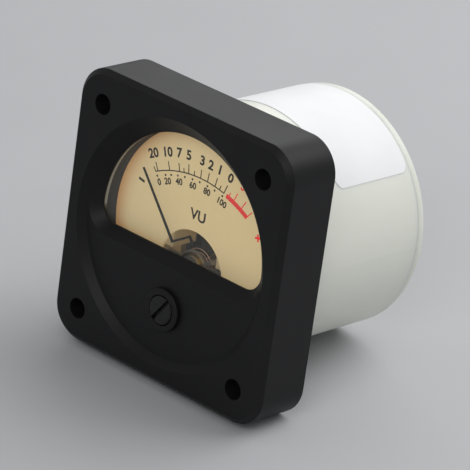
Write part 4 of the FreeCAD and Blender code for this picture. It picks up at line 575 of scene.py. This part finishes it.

# Barrel and rear cover: moulded in milky white plastic that lets a little light through. Towards the rear
# rim, where the cover is pushed in, the walls are painted faintly darker as painted shade.
MILKY = rgb(228, 229, 219)
RIM_DEPTH = 22.0
RIM_FADE = 6.0
milky_case, place = finish("milky_case", MILKY, Specular_IOR_Level=0.45, Subsurface_Weight=0.45,
                           Subsurface_Scale=1.6 * MM, Subsurface_Radius=(1.0, 0.95, 0.8))
barrel_rim_shade = ((place.along("Y") / MM - RIM_DEPTH) / RIM_FADE).clipped()
flow = place.grain(12.0 * MM, detail=3.0)
# Soft random patches of tone, mixed with painted shade towards the rear rim.
(flow * 0.5 + barrel_rim_shade * 0.5).clipped().between(MILKY, rgb(218, 220, 210)).feeds("Base Color")
glossed(place, smooth=0.34, rough=0.44, grain=1.0 * MM, detail=3.0)
dented(place, grain=0.9 * MM, depth=0.012 * MM, strength=0.35, detail=3.0)
dress(milky_case, "case_barrel", "back_cover")

# Label: white coated paper stuck round the top of the barrel, with rounded corners. It is bare, and
# the paper shows a faint tooth.
PAPER = rgb(240, 240, 240)
label_paper, place = finish("label_paper", PAPER, Specular_IOR_Level=0.3)
clouded(place, PAPER, rgb(231, 231, 232), patch=6.0 * MM)
glossed(place, smooth=0.5, rough=0.6, grain=0.8 * MM)
dented(place, grain=0.2 * MM, depth=0.006 * MM, strength=0.5, detail=3.0)
dress(label_paper, "case_label")

# Table: a plain sheet of light grey that rises a little under the meter, which rests on the lower
# edge of its bezel and on the end of its barrel.
FRONT_FOOT = Vector((0.0, 0.0, -22.5 * MM))
REAR_FOOT = Vector((0.0, 27.3 * MM, -19.25 * MM))
TABLE_REACH = 1.6
TABLE = rgb(184, 185, 187)
slope = math.atan2(REAR_FOOT.z - FRONT_FOOT.z, REAR_FOOT.y - FRONT_FOOT.y)
mesh = bmesh.new()
bmesh.ops.create_grid(mesh, x_segments=1, y_segments=1, size=TABLE_REACH,
                      matrix=Matrix.Translation(FRONT_FOOT) @ Matrix.Rotation(slope, 4, "X"))
table_mesh = bpy.data.meshes.new("table")
mesh.to_mesh(table_mesh)
mesh.free()
table = bpy.data.objects.new("table", table_mesh)
bpy.context.scene.collection.objects.link(table)
table_grey, place = finish("table_grey", TABLE, Roughness=0.75, Specular_IOR_Level=0.1)
clouded(place, TABLE, rgb(180, 181, 183), patch=20.0 * MM)
table_mesh.materials.append(table_grey)

# Studio: a broad soft lamp above and behind, a card behind on the left that gives the top of the bezel
# its sheen, and a weak lamp in front above the lens, in a plain grey room.
ROOM_GREY = (0.80, 0.81, 0.83, 1.0)
ROOM_STRENGTH = 0.52
world = bpy.data.worlds.new("studio")
bpy.context.scene.world = world
world.use_nodes = True
room = world.node_tree.nodes["Background"]
room.inputs["Color"].default_value = ROOM_GREY
room.inputs["Strength"].default_value = ROOM_STRENGTH


def soft_lamp(name, place, aim, width, height, power):
    light = bpy.data.lights.new(name, "AREA")
    light.shape = "RECTANGLE"
    light.size = width
    light.size_y = height
    light.energy = power
    lamp = bpy.data.objects.new(name, light)
    lamp.location = place
    lamp.rotation_euler = (Vector(aim) - Vector(place)).to_track_quat("-Z", "Y").to_euler()
    bpy.context.scene.collection.objects.link(lamp)


soft_lamp("key", place=(0.17, 0.25, 0.46), aim=(0.0, 0.01, 0.0), width=0.45, height=0.45, power=1.95)
soft_lamp("rear_card", place=(-0.33, 0.40, 0.34), aim=(0.0, 0.0, 0.0), width=0.4, height=0.3, power=0.72)
soft_lamp("front_fill", place=(0.20, -0.44, 0.34), aim=(0.0, 0.0, 0.0), width=0.3, height=0.3, power=0.72)

# Camera: a long lens at the photograph's angle, so that the sides of the bezel stay nearly parallel.
# Its place and its turn were found from the corner holes and the edges of the bezel.
CAMERA_PLACE = (0.335831, -0.379473, 0.201994)
AZIMUTH = math.radians(41.1147)
ELEVATION = math.radians(21.6963)
ROLL = math.radians(8.0587)
LENS = 273.20
SENSOR = 36.0
back = Vector((math.sin(AZIMUTH) * math.cos(ELEVATION), -math.cos(AZIMUTH) * math.cos(ELEVATION),
               math.sin(ELEVATION)))
level_right = Vector((math.cos(AZIMUTH), math.sin(AZIMUTH), 0.0))
level_up = back.cross(level_right)
right = math.cos(ROLL) * level_right + math.sin(ROLL) * level_up
up = back.cross(right)
camera_data = bpy.data.cameras.new("camera")
camera_data.sensor_width = SENSOR
camera_data.sensor_height = SENSOR
camera_data.sensor_fit = "HORIZONTAL"
camera_data.lens = LENS
camera_data.clip_start = 10.0 * MM
camera = bpy.data.objects.new("camera", camera_data)
camera.matrix_world = Matrix.Translation(CAMERA_PLACE) @ Matrix((right, up, back)).transposed().to_4x4()
bpy.context.scene.collection.objects.link(camera)
bpy.context.scene.camera = camera
bpy.context.scene.view_settings.view_transform = "Standard"
